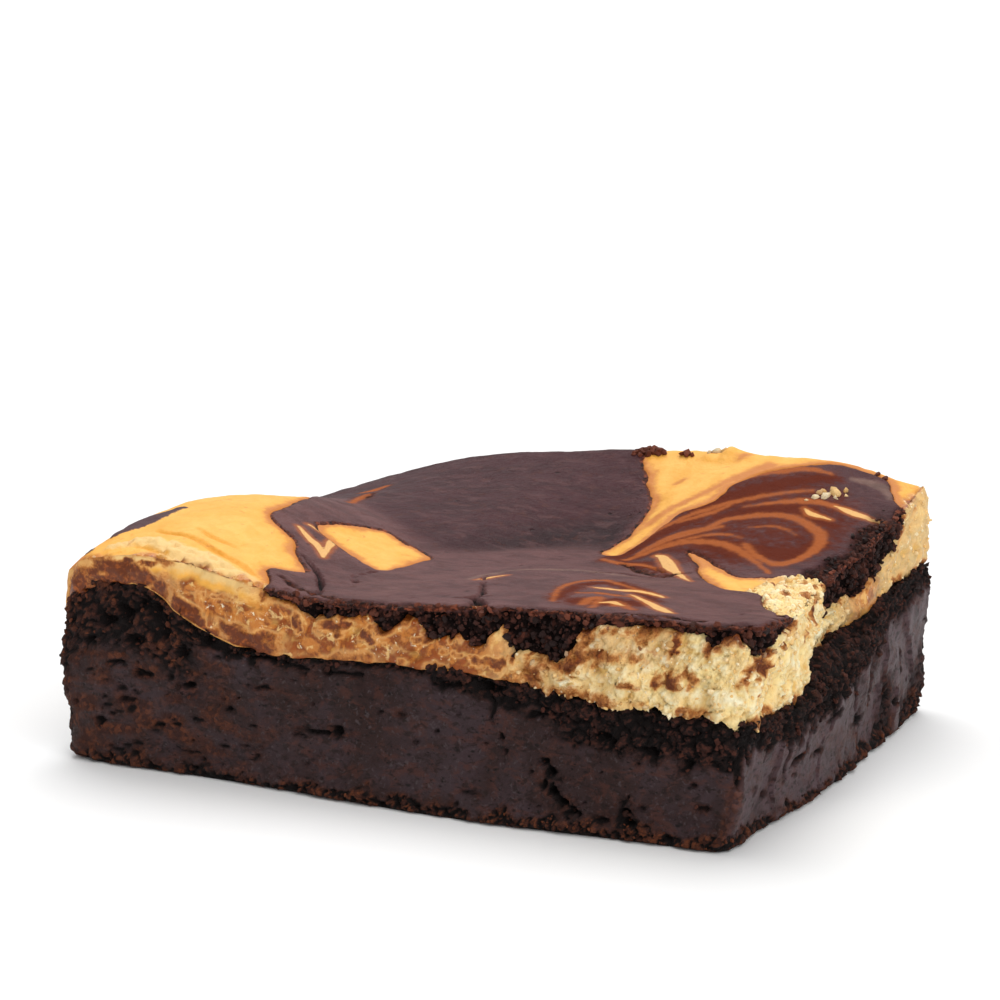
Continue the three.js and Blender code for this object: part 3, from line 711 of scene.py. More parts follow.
def math_node(tree, operation, a, b):
    """The result of an operation on two values."""
    return put(tree, "Math", {0: a, 1: b}, operation=operation).outputs[0]


def plus(tree, a, b):
    """The sum of two values."""
    return math_node(tree, "ADD", a, b)


def minus(tree, a, b):
    """The first value less the second."""
    return math_node(tree, "SUBTRACT", a, b)


def times(tree, a, b):
    """The product of two values."""
    return math_node(tree, "MULTIPLY", a, b)


def larger(tree, a, b):
    """The larger of two values."""
    return math_node(tree, "MAXIMUM", a, b)


def step_node(tree, value, low, high, out_low=0.0, out_high=1.0):
    """A value carried smoothly from one range to another."""
    inputs = {"Value": value, "From Min": low, "From Max": high, "To Min": out_low, "To Max": out_high}
    return put(tree, "MapRange", inputs, interpolation_type="SMOOTHSTEP").outputs[0]


def rgba(colour):
    """A colour from the settings, made opaque."""
    return (*colour, 1.0)


def mix_node(tree, factor, a, b):
    """Two colours mixed by a factor."""
    return put(tree, "Mix", {0: factor, 6: a, 7: b}, data_type="RGBA").outputs[2]


def mask_nodes(tree, names):
    """The values of the piece's own attributes, named in one line."""
    return [put(tree, "Attribute", attribute_name=name, attribute_type="GEOMETRY").outputs["Fac"]
            for name in names.split()]


def noise_node(tree, vector, size, detail=3.0, roughness=0.5, distortion=0.0):
    """Noise from 0 to 1 with features of that size in millimetres, on object coordinates."""
    inputs = {"Vector": vector, "Scale": 1.0 / (size * MM), "Detail": detail, "Roughness": roughness,
              "Distortion": distortion}
    return put(tree, "TexNoise", inputs).outputs["Fac"]


def cell_node(tree, vector, size):
    """Distance to the nearest scattered point, with cells of that size in millimetres."""
    inputs = {"Vector": vector, "Scale": 1.0 / (size * MM)}
    return put(tree, "TexVoronoi", inputs, feature="F1").outputs["Distance"]


def place_node(tree):
    """Object coordinates."""
    return put(tree, "TexCoord").outputs["Object"]


def scale_node(tree, given):
    """The scale of a texture whose features have the group's own size in millimetres."""
    return math_node(tree, "DIVIDE", 1.0 / MM, given.outputs["Size"])


def new_group(name, inputs, outputs):
    """An empty shader node group with named sockets: its tree, its input node and its output node."""
    tree = bpy.data.node_groups.new(name, "ShaderNodeTree")
    for label, kind, value in inputs:
        socket = tree.interface.new_socket(label, in_out="INPUT", socket_type="NodeSocket" + kind)
        if kind == "Float":
            socket.default_value = value
    for label, kind in outputs:
        tree.interface.new_socket(label, in_out="OUTPUT", socket_type="NodeSocket" + kind)
    return tree, tree.nodes.new("NodeGroupInput"), tree.nodes.new("NodeGroupOutput")


def group_node(tree, name, inputs):
    """The value of a placed copy of a shader node group."""
    group = bpy.data.node_groups.get(name) or GROUPS[name]()
    return put(tree, "Group", inputs, node_tree=group).outputs[0]


def crumb_relief_group():
    """Height of baked crumb: rounded grains of two sizes, with pores between them, and fine grit."""
    tree, given, result = new_group("Crumb relief", [("Vector", "Vector", None)], [("Height", "Float")])
    place = given.outputs["Vector"]
    big, small = cell_node(tree, place, 0.8), cell_node(tree, place, 0.34)
    grains = plus(tree, times(tree, big, -0.5), times(tree, small, -0.4))
    height = plus(tree, grains, times(tree, noise_node(tree, place, 0.3, 4.0, 0.7), 0.6))
    tree.links.new(height, result.inputs["Height"])
    return tree


def grain_tone_group():
    """An uneven tone from 0 to 1, one for each grain of the given size in millimetres."""
    tree, given, result = new_group(
        "Grain tone", [("Vector", "Vector", None), ("Size", "Float", 0.5)], [("Tone", "Float")])
    scale = scale_node(tree, given)
    grains = put(tree, "TexVoronoi", {"Vector": given.outputs["Vector"], "Scale": scale}, feature="F1")
    tone = put(tree, "SeparateColor", {0: grains.outputs["Color"]}).outputs[0]
    tree.links.new(tone, result.inputs["Tone"])
    return tree


def mottle_group():
    """A mask of soft irregular patches: noise of a size, cut at a level with a given softness."""
    tree, given, result = new_group(
        "Mottle", [("Vector", "Vector", None), ("Size", "Float", 3.0), ("Level", "Float", 0.5),
                   ("Softness", "Float", 0.1)], [("Mask", "Float")])
    scale = scale_node(tree, given)
    inputs = {"Vector": given.outputs["Vector"], "Scale": scale, "Detail": 4.0, "Roughness": 0.62,
              "Distortion": 0.6}
    noise = put(tree, "TexNoise", inputs).outputs["Fac"]
    low = minus(tree, given.outputs["Level"], given.outputs["Softness"])
    high = plus(tree, given.outputs["Level"], given.outputs["Softness"])
    tree.links.new(step_node(tree, noise, low, high), result.inputs["Mask"])
    return tree


def ragged_edge_group():
    """A mask that is 1 where a signed distance in millimetres is over 0, with a wavering, soft edge."""
    tree, given, result = new_group(
        "Ragged edge", [("Distance", "Float", 0.0), ("Vector", "Vector", None), ("Waver", "Float", 0.2),
                        ("Softness", "Float", 0.1)], [("Mask", "Float")])
    noise = noise_node(tree, given.outputs["Vector"], 1.1, 4.0, 0.6)
    waver = times(tree, minus(tree, noise, 0.5), given.outputs["Waver"])
    moved = plus(tree, given.outputs["Distance"], times(tree, waver, 2.0))
    low = times(tree, given.outputs["Softness"], -1.0)
    tree.links.new(step_node(tree, moved, low, given.outputs["Softness"]), result.inputs["Mask"])
    return tree


def fine_pits_group():
    """A mask of small round pits: 1 close to scattered points, in cells of a size, with uneven rims."""
    tree, given, result = new_group(
        "Fine pits", [("Vector", "Vector", None), ("Size", "Float", 1.0), ("Reach", "Float", 0.2)],
        [("Mask", "Float")])
    scale = scale_node(tree, given)
    inputs = {"Vector": given.outputs["Vector"], "Scale": scale}
    near = put(tree, "TexVoronoi", inputs, feature="F1").outputs["Distance"]
    waver = put(tree, "TexNoise", {**inputs, "Detail": 3.0}).outputs["Fac"]
    near = plus(tree, near, times(tree, minus(tree, waver, 0.45), 0.8))
    tree.links.new(step_node(tree, near, given.outputs["Reach"], 0.0), result.inputs["Mask"])
    return tree


GROUPS = {"Crumb relief": crumb_relief_group, "Fine pits": fine_pits_group, "Grain tone": grain_tone_group,
          "Mottle": mottle_group, "Ragged edge": ragged_edge_group}


def mottle(tree, place, size, level=0.5, softness=0.1):
    """A placed mask of irregular patches."""
    inputs = {"Vector": place, "Size": size, "Level": level, "Softness": softness}
    return group_node(tree, "Mottle", inputs)


def fine_pits(tree, place, size, reach):
    """A placed mask of small pits."""
    return group_node(tree, "Fine pits", {"Vector": place, "Size": size, "Reach": reach})


def ragged(tree, distance, place, waver, softness):
    """A placed mask of a stroke with a wavering edge."""
    inputs = {"Distance": distance, "Vector": place, "Waver": waver, "Softness": softness}
    return group_node(tree, "Ragged edge", inputs)


def crumb_relief(tree, place):
    """A placed height of baked crumb."""
    return group_node(tree, "Crumb relief", {"Vector": place})


def grain_tone(tree, place, size):
    """A placed tone for each grain."""
    return group_node(tree, "Grain tone", {"Vector": place, "Size": size})


def layered(tree, colour, *coats):
    """A colour with coats laid over it, each a mask and a colour from the settings."""
    for mask, coat in coats:
        colour = mix_node(tree, mask, colour, rgba(coat))
    return colour


def new_material(name):
    """A material with an empty Principled shader: the material, its tree and the shader."""
    material = bpy.data.materials.get(name)
    if material:
        bpy.data.materials.remove(material)
    material = bpy.data.materials.new(name)
    material.use_nodes = True
    tree = material.node_tree
    return material, tree, tree.nodes["Principled BSDF"]


def finish_material(tree, shader, colour, roughness, height, depth, specular):
    """Links colour, roughness and bump, with its depth in millimetres, and sets the specular level."""
    tree.links.new(colour, shader.inputs["Base Color"])
    tree.links.new(roughness, shader.inputs["Roughness"])
    shader.inputs["Specular IOR Level"].default_value = specular
    bump = put(tree, "Bump", {"Height": height, "Distance": depth * MM, "Strength": 1.0})
    tree.links.new(bump.outputs["Normal"], shader.inputs["Normal"])


def crumb_colour(tree, place, grain, dark, light):
    """Crumb that is mostly dark, with single grains lighter."""
    tone = plus(tree, times(tree, grain, 0.5), times(tree, grain_tone(tree, place, 0.45), 0.5))
    return mix_node(tree, step_node(tree, tone, 0.35, 0.95), rgba(dark), rgba(light))


def cake_material(colours):
    """Dense chocolate cake: nearly black where the knife smoothed it, browner and duller where it crumbles,
    reddish along the foot and on the crust, and darker in the pits."""
    material, tree, shader = new_material("Chocolate cake")
    place = place_node(tree)
    crumb, crust, hollow, grain, short_cut = mask_nodes(tree, "crumb crust hollow grain short_cut")
    flat = put(tree, "VectorMath", {0: place, 1: (1.0, 1.0, 1.8)}, operation="MULTIPLY").outputs[0]
    # Fine pits: lowered in the bump, and darkened in colour below as painted shade
    specks = larger(tree, fine_pits(tree, flat, 1.5, 0.25), fine_pits(tree, flat, 0.7, 0.23))
    smooth = layered(
        tree, rgba(colours.cut), (mottle(tree, place, 6.0, 0.5, 0.16), colours.cut_light),
        # Painted light: patches of the short cut are made lighter and bluer for the sheen and the stronger
        # light it shows
        (times(tree, short_cut, mottle(tree, place, 3.0, 0.42, 0.16)), colours.short_cut_sheen),
        (times(tree, mottle(tree, flat, 2.4, 0.56, 0.08), 0.55), colours.crumb_light),
        (times(tree, mottle(tree, flat, 1.1, 0.57, 0.06), 0.8), colours.crumb),
        # Painted highlight: small lighter bluish specks, standing in for light caught by the fine grain of
        # the cut
        (times(tree, mottle(tree, place, 0.5, 0.62, 0.05), 0.6), colours.speck_highlight),
        (times(tree, specks, 0.85), colours.hollow))
    broken = crumb_colour(tree, place, grain, colours.crumb, colours.crumb_light)
    reddish = crumb_colour(tree, place, grain, colours.crust, colours.crust_light)
    colour = mix_node(tree, crumb, smooth, broken)
    colour = mix_node(tree, crust, colour, reddish)
    # Painted shade in the pits, tears, cracks and gaps between grains
    colour = layered(tree, colour, (step_node(tree, hollow, 0.1, 0.8), colours.hollow))
    dull = larger(tree, crumb, crust)
    roughness = minus(tree, step_node(tree, dull, 0.0, 1.0, 0.48, 0.82), times(tree, short_cut, 0.1))
    roughness = plus(tree, roughness, times(tree, noise_node(tree, place, 0.5, 5.0, 0.7), 0.14))
    relief = crumb_relief(tree, place)
    height = plus(tree, times(tree, relief, step_node(tree, dull, 0.0, 1.0, 0.35, 1.0)),
                  times(tree, noise_node(tree, place, 1.0, 8.0, 0.78), 1.5))
    height = minus(tree, height, times(tree, specks, 0.5))
    finish_material(tree, shader, colour, roughness, height, 0.4, 0.24)
    return material


def cream_material(colours):
    """Baked cream cheese: golden on top, browner against the tin, pale and porous at the cuts, with tan
    smears where the knife dragged chocolate through it."""
    material, tree, shader = new_material("Cream cheese")
    place = place_node(tree)
    top, sponge, baked, stain, hollow, browned = mask_nodes(tree, "top sponge baked stain hollow browned")
    pale, ochre, cocoa, tan, raised, toasted = mask_nodes(tree, "pale ochre cocoa tan raised toasted")
    patches, blots = mottle(tree, place, 7.0, 0.5, 0.22), mottle(tree, place, 2.4, 0.52, 0.14)
    flecks, fine_flecks = mottle(tree, place, 1.3, 0.56, 0.12), mottle(tree, place, 0.6, 0.58, 0.12)
    golden = layered(
        tree, rgba(colours.golden), (patches, colours.golden_light),
        (times(tree, blots, 0.35), colours.golden_deep),
        (ragged(tree, pale, place, 0.8, 0.5), colours.pale),
        (ragged(tree, ochre, place, 0.5, 0.3), colours.golden_deep),
        (times(tree, ragged(tree, plus(tree, browned, 0.6), place, 1.2, 1.4), 0.6), colours.golden_deep),
        (ragged(tree, browned, place, 0.8, 0.6), colours.golden_dark),
        (times(tree, mottle(tree, place, 1.5, 0.66, 0.05), 0.5), colours.golden_dark))
    marbling = plus(tree, times(tree, noise_node(tree, place, 3.6, 5.0, 0.6, 1.2), 0.75),
                    times(tree, noise_node(tree, place, 0.9, 4.0, 0.65), 0.25))
    marbling = plus(tree, marbling, step_node(tree, toasted, 0.0, 1.2, 0.025, 0.12))
    smeared = layered(
        tree, rgba(colours.smear_light), (step_node(tree, marbling, 0.39, 0.48), colours.smear),
        (step_node(tree, marbling, 0.49, 0.58), colours.smear_dark),
        (step_node(tree, marbling, 0.56, 0.64), colours.stain_light),
        (times(tree, mottle(tree, place, 1.7, 0.62, 0.04), 0.75), colours.pale),
        (times(tree, mottle(tree, place, 0.8, 0.66, 0.05), 0.8), colours.sponge_light))
    porous = layered(
        tree, rgba(colours.sponge), (times(tree, blots, 0.6), colours.sponge_warm),
        (times(tree, tan, step_node(tree, flecks, 0.0, 1.0, 0.4, 0.95)), colours.tan),
        # Painted highlight: the grains that stand out of the airy cheese are made lighter in colour
        (times(tree, raised, step_node(tree, blots, 1.0, 0.0, 0.2, 0.9)), colours.sponge_light))
    colour = mix_node(tree, top, mix_node(tree, sponge, smeared, porous), golden)
    browner = mix_node(tree, blots, rgba(colours.baked), rgba(colours.golden_dark))
    colour = mix_node(tree, baked, colour, browner)
    # Painted shade in the pores and gaps of the airy cheese and of the smear
    colour = layered(tree, colour, (step_node(tree, hollow, 0.1, 1.0, 0.0, 0.8), colours.pore_shade))
    uneven = times(tree, minus(tree, noise_node(tree, place, 1.0, 5.0, 0.7), 0.5), 1.5)
    spread = plus(tree, stain, times(tree, uneven, step_node(tree, stain, 0.0, 0.4)))
    colour = layered(
        tree, colour, (times(tree, step_node(tree, spread, 0.0, 0.35), 0.5), colours.sponge_warm),
        (times(tree, step_node(tree, spread, 0.05, 0.6), 0.9), colours.smear))
    stain_tone = mix_node(tree, fine_flecks, rgba(colours.stain), rgba(colours.stain_light))
    colour = mix_node(tree, times(tree, step_node(tree, spread, 0.35, 0.9), 0.95), colour, stain_tone)
    colour = layered(tree, colour, (ragged(tree, cocoa, place, 0.5, 0.15), colours.skin))
    wet = times(tree, minus(tree, 1.0, sponge), minus(tree, 1.0, top))
    roughness = step_node(tree, wet, 0.0, 1.0, 0.6, 0.36)
    relief = crumb_relief(tree, place)
    height = plus(tree, times(tree, relief, step_node(tree, sponge, 0.0, 1.0, 0.12, 0.9)),
                  times(tree, noise_node(tree, place, 1.0, 5.0, 0.65), 0.5))
    finish_material(tree, shader, colour, roughness, height, 0.3, 0.28)
    return material


def skin_material(colours):
    """Baked chocolate skin: a dull purple brown with a low sheen, caramel and cream strokes drawn through it,
    a reddish broken edge, and black crumb where the cut shows its thickness."""
    material, tree, shader = new_material("Chocolate skin")
    place = place_node(tree)
    cream, caramel, glaze, edge, crumb = mask_nodes(tree, "cream caramel glaze edge crumb")
    hollow, dome, grain, ring, burnt = mask_nodes(tree, "hollow dome grain ring burnt")
    # Painted sheen: the flat skin towards the long cut gets the lighter colour for the sheen it shows, and
    # the dome gets the darker one
    colour = mix_node(tree, dome, rgba(colours.skin_sheen), rgba(colours.skin))
    stretch = {"Vector": place, "Rotation": (0.0, 0.0, 0.5), "Scale": (0.45, 1.0, 1.0)}
    drawn_out = put(tree, "Mapping", stretch).outputs[0]
    veil = ragged(tree, glaze, place, 1.6, 1.2)
    # Fine pits on the skin: lowered in the bump and darkened in colour as painted shade
    dots = times(tree, fine_pits(tree, place, 2.2, 0.14), mottle(tree, place, 8.0, 0.5, 0.1))
    drawn, lines = ragged(tree, caramel, place, 0.5, 0.4), ragged(tree, caramel, place, 0.9, 1.3)
    bright = ragged(tree, cream, place, 0.12, 0.1)
    halo = ragged(tree, plus(tree, cream, 0.4), place, 0.3, 0.4)
    colour = layered(
        tree, colour, (times(tree, mottle(tree, place, 9.0, 0.55, 0.2), 0.35), colours.skin),
        # Painted shade: the crease at the foot of the dome is darkened in colour, standing in for the shade
        # that falls there
        (times(tree, burnt, 0.95), colours.skin_shade_and_streaks),
        # Painted highlight: a faint lighter ring where a shallow crease catches the light
        (times(tree, ragged(tree, ring, place, 0.5, 0.5), 0.75), colours.ring),
        # Darker streaks of tone, then lighter glossy streaks that are a painted sheen
        (times(tree, mottle(tree, drawn_out, 2.6, 0.52, 0.1), 0.35), colours.skin_shade_and_streaks),
        (times(tree, mottle(tree, drawn_out, 1.4, 0.6, 0.1), 0.4), colours.skin_sheen),
        (times(tree, mottle(tree, place, 1.3, 0.62, 0.06), 0.4), colours.crumb_light),
        (times(tree, dots, 0.7), colours.hollow),
        (times(tree, veil, 0.95), colours.glaze), (times(tree, lines, 0.65), colours.glaze_light),
        (times(tree, drawn, 0.85), colours.caramel), (times(tree, halo, 0.8), colours.caramel),
        (bright, colours.stroke))
    rim = layered(tree, rgba(colours.edge), (mottle(tree, place, 1.1, 0.52, 0.06), colours.crumb),
                  (mottle(tree, place, 0.7, 0.58, 0.06), colours.edge_light))
    uneven = minus(tree, noise_node(tree, place, 0.9, 4.0, 0.65), 0.5)
    rough_edge = step_node(tree, plus(tree, edge, times(tree, uneven, 1.4)), 0.3, 0.75)
    colour = mix_node(tree, times(tree, rough_edge, step_node(tree, edge, 0.0, 0.25)), colour, rim)
    broken = crumb_colour(tree, place, grain, colours.crumb, colours.crumb_light)
    colour = mix_node(tree, crumb, colour, broken)
    # Painted shade in the holes and gaps of the broken band, and in cracks and dents
    colour = layered(tree, colour, (step_node(tree, hollow, 0.1, 0.9), colours.hollow))
    dull = larger(tree, crumb, times(tree, larger(tree, veil, lines), 0.9))
    roughness = plus(tree, step_node(tree, dull, 0.0, 1.0, 0.4, 0.85),
                     times(tree, noise_node(tree, place, 1.3, 4.0, 0.6), 0.16))
    relief = crumb_relief(tree, place)
    rougher = larger(tree, crumb, edge)
    height = plus(tree, times(tree, relief, step_node(tree, rougher, 0.0, 1.0, 0.07, 1.0)),
                  times(tree, noise_node(tree, place, 2.0, 8.0, 0.7), 1.7))
    height = minus(tree, height, times(tree, dots, 0.5))
    height = plus(tree, height, times(tree, bright, 0.2))
    finish_material(tree, shader, colour, roughness, height, 0.34, 0.12)
    return material


def loose_material(name, dark, light, warm, specular):
    """Loose crumbs, each of its own tone between dark and light, some of them warmer."""
    material, tree, shader = new_material(name)
    place = place_node(tree)
    tone, warmth = mask_nodes(tree, "tone warmth")
    colour = mix_node(tree, step_node(tree, tone, 0.2, 1.0), rgba(dark), rgba(light))
    colour = mix_node(tree, times(tree, mottle(tree, place, 0.4, 0.5, 0.2), 0.6), colour, rgba(dark))
    colour = layered(tree, colour, (warmth, warm))
    roughness = step_node(tree, tone, 0.0, 1.0, 0.7, 0.85)
    height = noise_node(tree, place, 0.35, 4.0, 0.7)
    finish_material(tree, shader, colour, roughness, height, 0.22, specular)
    return material


# Loose crumbs

def lump_template(around=6, rings=3):
    """A small closed ball of radius 1: rings of points at equal angles between two poles, and its faces."""
    polar = np.linspace(0, np.pi, rings + 2)[1:-1]
    turn = np.arange(around) * 2 * np.pi / around
    ring = np.stack([np.outer(np.sin(polar), np.cos(turn)), np.outer(np.sin(polar), np.sin(turn)),
                     np.repeat(np.cos(polar)[:, None], around, axis=1)], axis=2).reshape(-1, 3)
    points = np.concatenate([[[0, 0, 1.0]], ring, [[0, 0, -1.0]]])
    loops = 1 + np.arange(rings * around).reshape(rings, around)
    north, south = np.zeros(around, int), np.full(around, len(points) - 1)
    faces = [np.stack([loops[0], np.roll(loops[0], -1), north, north], axis=1)]
    faces += [quads_between(loops[k + 1], loops[k]) for k in range(rings - 1)]
    faces.append(np.stack([np.roll(loops[-1], -1), loops[-1], south, south], axis=1))
    return points, np.concatenate(faces)


def turned(count, chance):
    """Turns in random directions, as matrices, from random unit quaternions."""
    q = chance.normal(size=(count, 4))
    w, x, y, z = (q / np.linalg.norm(q, axis=1)[:, None]).T
    rows = [1 - 2 * (y * y + z * z), 2 * (x * y - z * w), 2 * (x * z + y * w),
            2 * (x * y + z * w), 1 - 2 * (x * x + z * z), 2 * (y * z - x * w),
            2 * (x * z - y * w), 2 * (y * z + x * w), 1 - 2 * (x * x + y * y)]
    return np.stack(rows, axis=1).reshape(-1, 3, 3)


def lumps_at(places, radii, seed):
    """Small uneven lumps round the places, joined: balls dented by noise, stretched, and turned at random."""
    chance = np.random.default_rng(seed)
    ball, faces = lump_template()
    count = len(places)
    each = np.repeat(ball[None], count, axis=0)
    shift = chance.uniform(0, 99, (count, 1, 3))
    dents = lumps((each * 1.5 + shift).reshape(-1, 3), 1.0, seed).reshape(count, -1)
    each = each * (1 + 0.55 * dents)[..., None] * chance.uniform(0.55, 1.3, (count, 1, 3))
    each = np.einsum("nij,nkj->nki", turned(count, chance), each) * radii[:, None, None] + places[:, None]
    numbers = faces[None] + (np.arange(count) * len(ball))[:, None, None]
    tone = np.repeat(chance.uniform(0, 1, count), len(ball))
    return each.reshape(-1, 3), numbers.reshape(-1, 4), tone


def areas_of(points, faces):
    """Area round each point, a quarter of each face beside it."""
    a, b, c, d = (points[faces[:, k]] for k in range(4))
    face = 0.5 * np.linalg.norm(np.cross(c - a, d - b), axis=1)
    return sum(np.bincount(faces[:, k], face / 4, len(points)) for k in range(4))


def add_crumbs(name, layer, count, radii, sink, placed, material, seed, smooth=False):
    """One piece of joined crumbs, scattered over a layer's points where its mask "loose" is larger, with the
    lumps placed on the top; the smallest and largest radius and how deep they sit are given."""
    mesh = layer.data
    points, normals = np.empty(3 * len(mesh.vertices)), np.empty(3 * len(mesh.vertices))
    mesh.vertices.foreach_get("co", points)
    mesh.vertices.foreach_get("normal", normals)
    points, normals = points.reshape(-1, 3) / MM, normals.reshape(-1, 3)
    loose, warm = np.empty(len(points)), np.empty(len(points))
    mesh.attributes["loose"].data.foreach_get("value", loose)
    mesh.attributes["warm"].data.foreach_get("value", warm)
    chance = np.random.default_rng(seed)
    count = count
    picked = chance.choice(len(points), count, replace=False, p=loose / loose.sum())
    size = radii[0] + (radii[1] - radii[0]) * chance.beta(1.3, 3.2, count)
    size = size * ramp(-1.5, 3.0, points[picked, 2])
    places = points[picked] + normals[picked] * (size * chance.uniform(sink[0], sink[1], count))[:, None]
    places[:, 2] = np.maximum(places[:, 2], 0.62 * size)
    warmth = warm[picked] * chance.uniform(0, 1, count) ** 1.3
    if placed:
        x, y, radius, placed_warmth = np.array(placed).T
        places = np.concatenate([places, np.column_stack([x, y, cake_top(x, y) + 0.2 * radius])])
        size, warmth = np.concatenate([size, radius]), np.concatenate([warmth, placed_warmth])
    points, faces, tone = lumps_at(places, size, seed + 1)
    points[:, 2] = np.maximum(points[:, 2], 0.0)
    warmth = np.repeat(warmth, len(points) // len(places))
    piece = new_piece(name, points, faces, {"tone": tone, "warmth": warmth}, material, smooth)
    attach(piece, "root")
    return piece


# The layers

def torn(along, z, places, p):
    """Depth of the listed tears, lens shapes with ragged rims, and the broken rim round them, 0 to 1."""
    depth, rim = np.zeros(len(z)), np.zeros(len(z))
    waver = 0.65 * lumps(p, 0.9, 41) + 0.4 * lumps(p, 0.45, 42)
    for middle, height, half_width, half_height, deep in places:
        d = np.hypot((along - middle) / half_width, (z - height) / half_height) + waver
        depth = np.maximum(depth, deep * ramp(1.1, 0.3, d))
        rim = np.maximum(rim, ramp(2.4, 1.2, d) * min(1.0, deep))
    return depth, rim


def flat_floor(x, y):
    """Underside of the base: height 0 everywhere."""
    return np.zeros_like(x)


def base_surface():
    """Points, faces and masks of the chocolate base: its block moved along the normals by grains where it is
    broken, and by pits, tears, cracks and the marks of the knife."""
    points, plan, share, faces = cake_block(flat_floor, BASE_LEVELS, True, BASE_CORNERS, False)
    normals, front, right, tin = outward(points, faces, share)
    lump = functools.partial(lumps, points)
    (x, y, z), (plan_x, plan_y) = points.T, plan.T
    below = base_top(plan_x, plan_y) - z
    inward = np.minimum(HALF_LENGTH - np.abs(plan_x), HALF_DEPTH - np.abs(plan_y))
    wall = (share >= 0) * ramp(0.0, 0.5, z)
    ledge = (share >= 1) * ramp(9, 6, inward)

    width = 1.0 + 0.5 * lump(3.2, 11) + front * (1.6 * ramp(4, 14, x) + 2.2 * ramp(18, 26, x))
    width = width + 2.2 * right + front * 2.0 * ramp(-20, -28, x)
    crumb = ramp(width + 1.0, width - 0.4, below + 1.1 * lump(1.6, 12) + 0.6 * lump(0.9, 10))
    open_crumb = front * ramp(-20, -27, x) * ramp(11.5, 6.0, below + 1.6 * lump(3.0, 17))
    crumb = np.maximum(crumb, 0.8 * open_crumb)
    rough_back = right * ramp(0, 16, y) * ramp(-0.3, 0.3, lump((4, 4, 6), 18)) * 0.8
    crumb = np.maximum.reduce([crumb, 0.7 * tin, rough_back, ledge])
    front_tears, front_rims = torn(x, z, FRONT_TEARS + FRONT_HOLES, points)
    side_tears, side_rims = torn(y, z, SIDE_TEARS, points)
    tears = np.maximum(front * front_tears, right * side_tears)
    rims = np.maximum(front * front_rims, right * side_rims)
    crumb = np.maximum(crumb, 0.7 * rims * ramp(-0.5, 0.3, lump(1.1, 35)))
    foot = ramp(1.9, 0.9, z + 1.1 * lump(2.4, 13) + 0.6 * lump(0.9, 34))
    low_back = right * ramp(-10, 8, y) * ramp(8.0, 3.0, z) * ramp(-0.1, 0.5, lump(2.6, 14))
    crust = np.maximum.reduce([
        foot, 0.35 * tin, 0.8 * low_back, 0.35 * rims * ramp(-0.2, 0.5, lump(0.9, 36)),
        0.75 * front * ramp(-6, -26, x) * ramp(-0.4, 0.5, lump((2.4, 2.4, 1.1), 37)),
        ramp(-35, -41, x) * ramp(-0.2, 0.5, lump(2.2, 15)) * 0.7,
        open_crumb * ramp(-0.1, 0.5, lump((1.2, 1.2, 2.0), 16)) * 0.55,
        0.5 * ramp(0.6, 0.0, np.hypot(plan_x - HALF_LENGTH, plan_y + HALF_DEPTH) - 0.6) * ramp(14, 11, z)])

    coarse, pick, gap = granules(points, (1.3, 1.3, 1.1), 21)
    small, pick2, gap2 = granules(points, 0.65, 22)
    broken = 0.95 * coarse + 0.8 * small + 0.35 * rough(points, 2.6, 2, 29)
    round_pits = pits(points, (1.9, 1.9, 1.3), 0.24, 0.36, 23) * (1 - crumb)
    wide_pits = pits(points, (3.0, 3.0, 1.7), 0.36, 0.4, 24) * np.clip(crumb + open_crumb, 0, 1)
    waver = 0.3 * lump(0.7, 43)
    cracks = np.maximum(front * ramp(-0.15, 0.15, stroke_inside(points[:, [0, 2]], FRONT_CRACKS) + waver),
                        right * ramp(-0.15, 0.15, stroke_inside(points[:, [1, 2]], SIDE_CRACKS) + waver))
    small_tears = pits(points, (2.6, 2.6, 0.9), 0.32, 0.55, 25) * front * ramp(0, -18, x) * (1 - open_crumb)
    streaks = lumps(np.column_stack([y, x * 0.3, z * 0.1]), 1.3, 26)
    streaks = streaks + 0.5 * lumps(np.column_stack([y, x, z * 0.2]), 0.6, 32)
    steps = np.round(1.3 * lumps(np.column_stack([y, x * 0.2, z * 0.25]), 5.0, 27)) * 0.4
    cut_marks = right * (share < 1) * ramp(1.0, 3.0, z) * (0.08 * streaks + steps) * (1 - 0.6 * crumb)

    relief = 0.2 * rough(points, (6, 6, 4.5), 2, 33) + 0.11 * rough(points, (1.7, 1.7, 1.1), 3, 28)
    relief = relief + crumb * broken + foot * (1 - crumb) * broken + cut_marks + 0.45 * ramp(2.4, 1.0, z)
    relief = relief - 0.55 * round_pits - 0.7 * wide_pits - tears - 0.7 * cracks - 0.5 * small_tears
    relief = relief - 0.6 * ramp(1.0, 0.3, below) * front * ramp(-0.4, 0.5, lump(2.4, 31))
    relief = np.clip(relief, -2.2, 0.8) * wall
    # The gaps between broken grains, and below them the pits, tears and cracks: all darkened in colour as
    # painted shade
    gaps = np.clip(crumb + foot, 0, 1) * np.clip(0.8 * gap + 0.5 * gap2 + ramp(0.0, -0.45, broken), 0, 1)
    hollow = 0.7 * round_pits + wide_pits + 0.9 * tears + cracks + small_tears + gaps
    hollow = np.clip(hollow, 0, 1) * (share >= 0)
    moved = points + normals * relief[:, None]
    moved[:, 2] = np.maximum(moved[:, 2], 0.0)
    joint = ledge * (x > 34) + wall * front * ramp(0.7, 0.2, below)
    loose = wall * (np.clip(front + right, 0, 1) * (crumb**2 + foot) + 0.4 * open_crumb + foot) + 1.2 * joint
    masks = {"crumb": crumb, "crust": crust, "hollow": hollow, "grain": 0.6 * pick + 0.4 * pick2,
             "short_cut": right * (share < 1) * (1 - crumb), "loose": loose * areas_of(moved, faces),
             "warm": 0.8 * crust}
    return moved, faces, masks


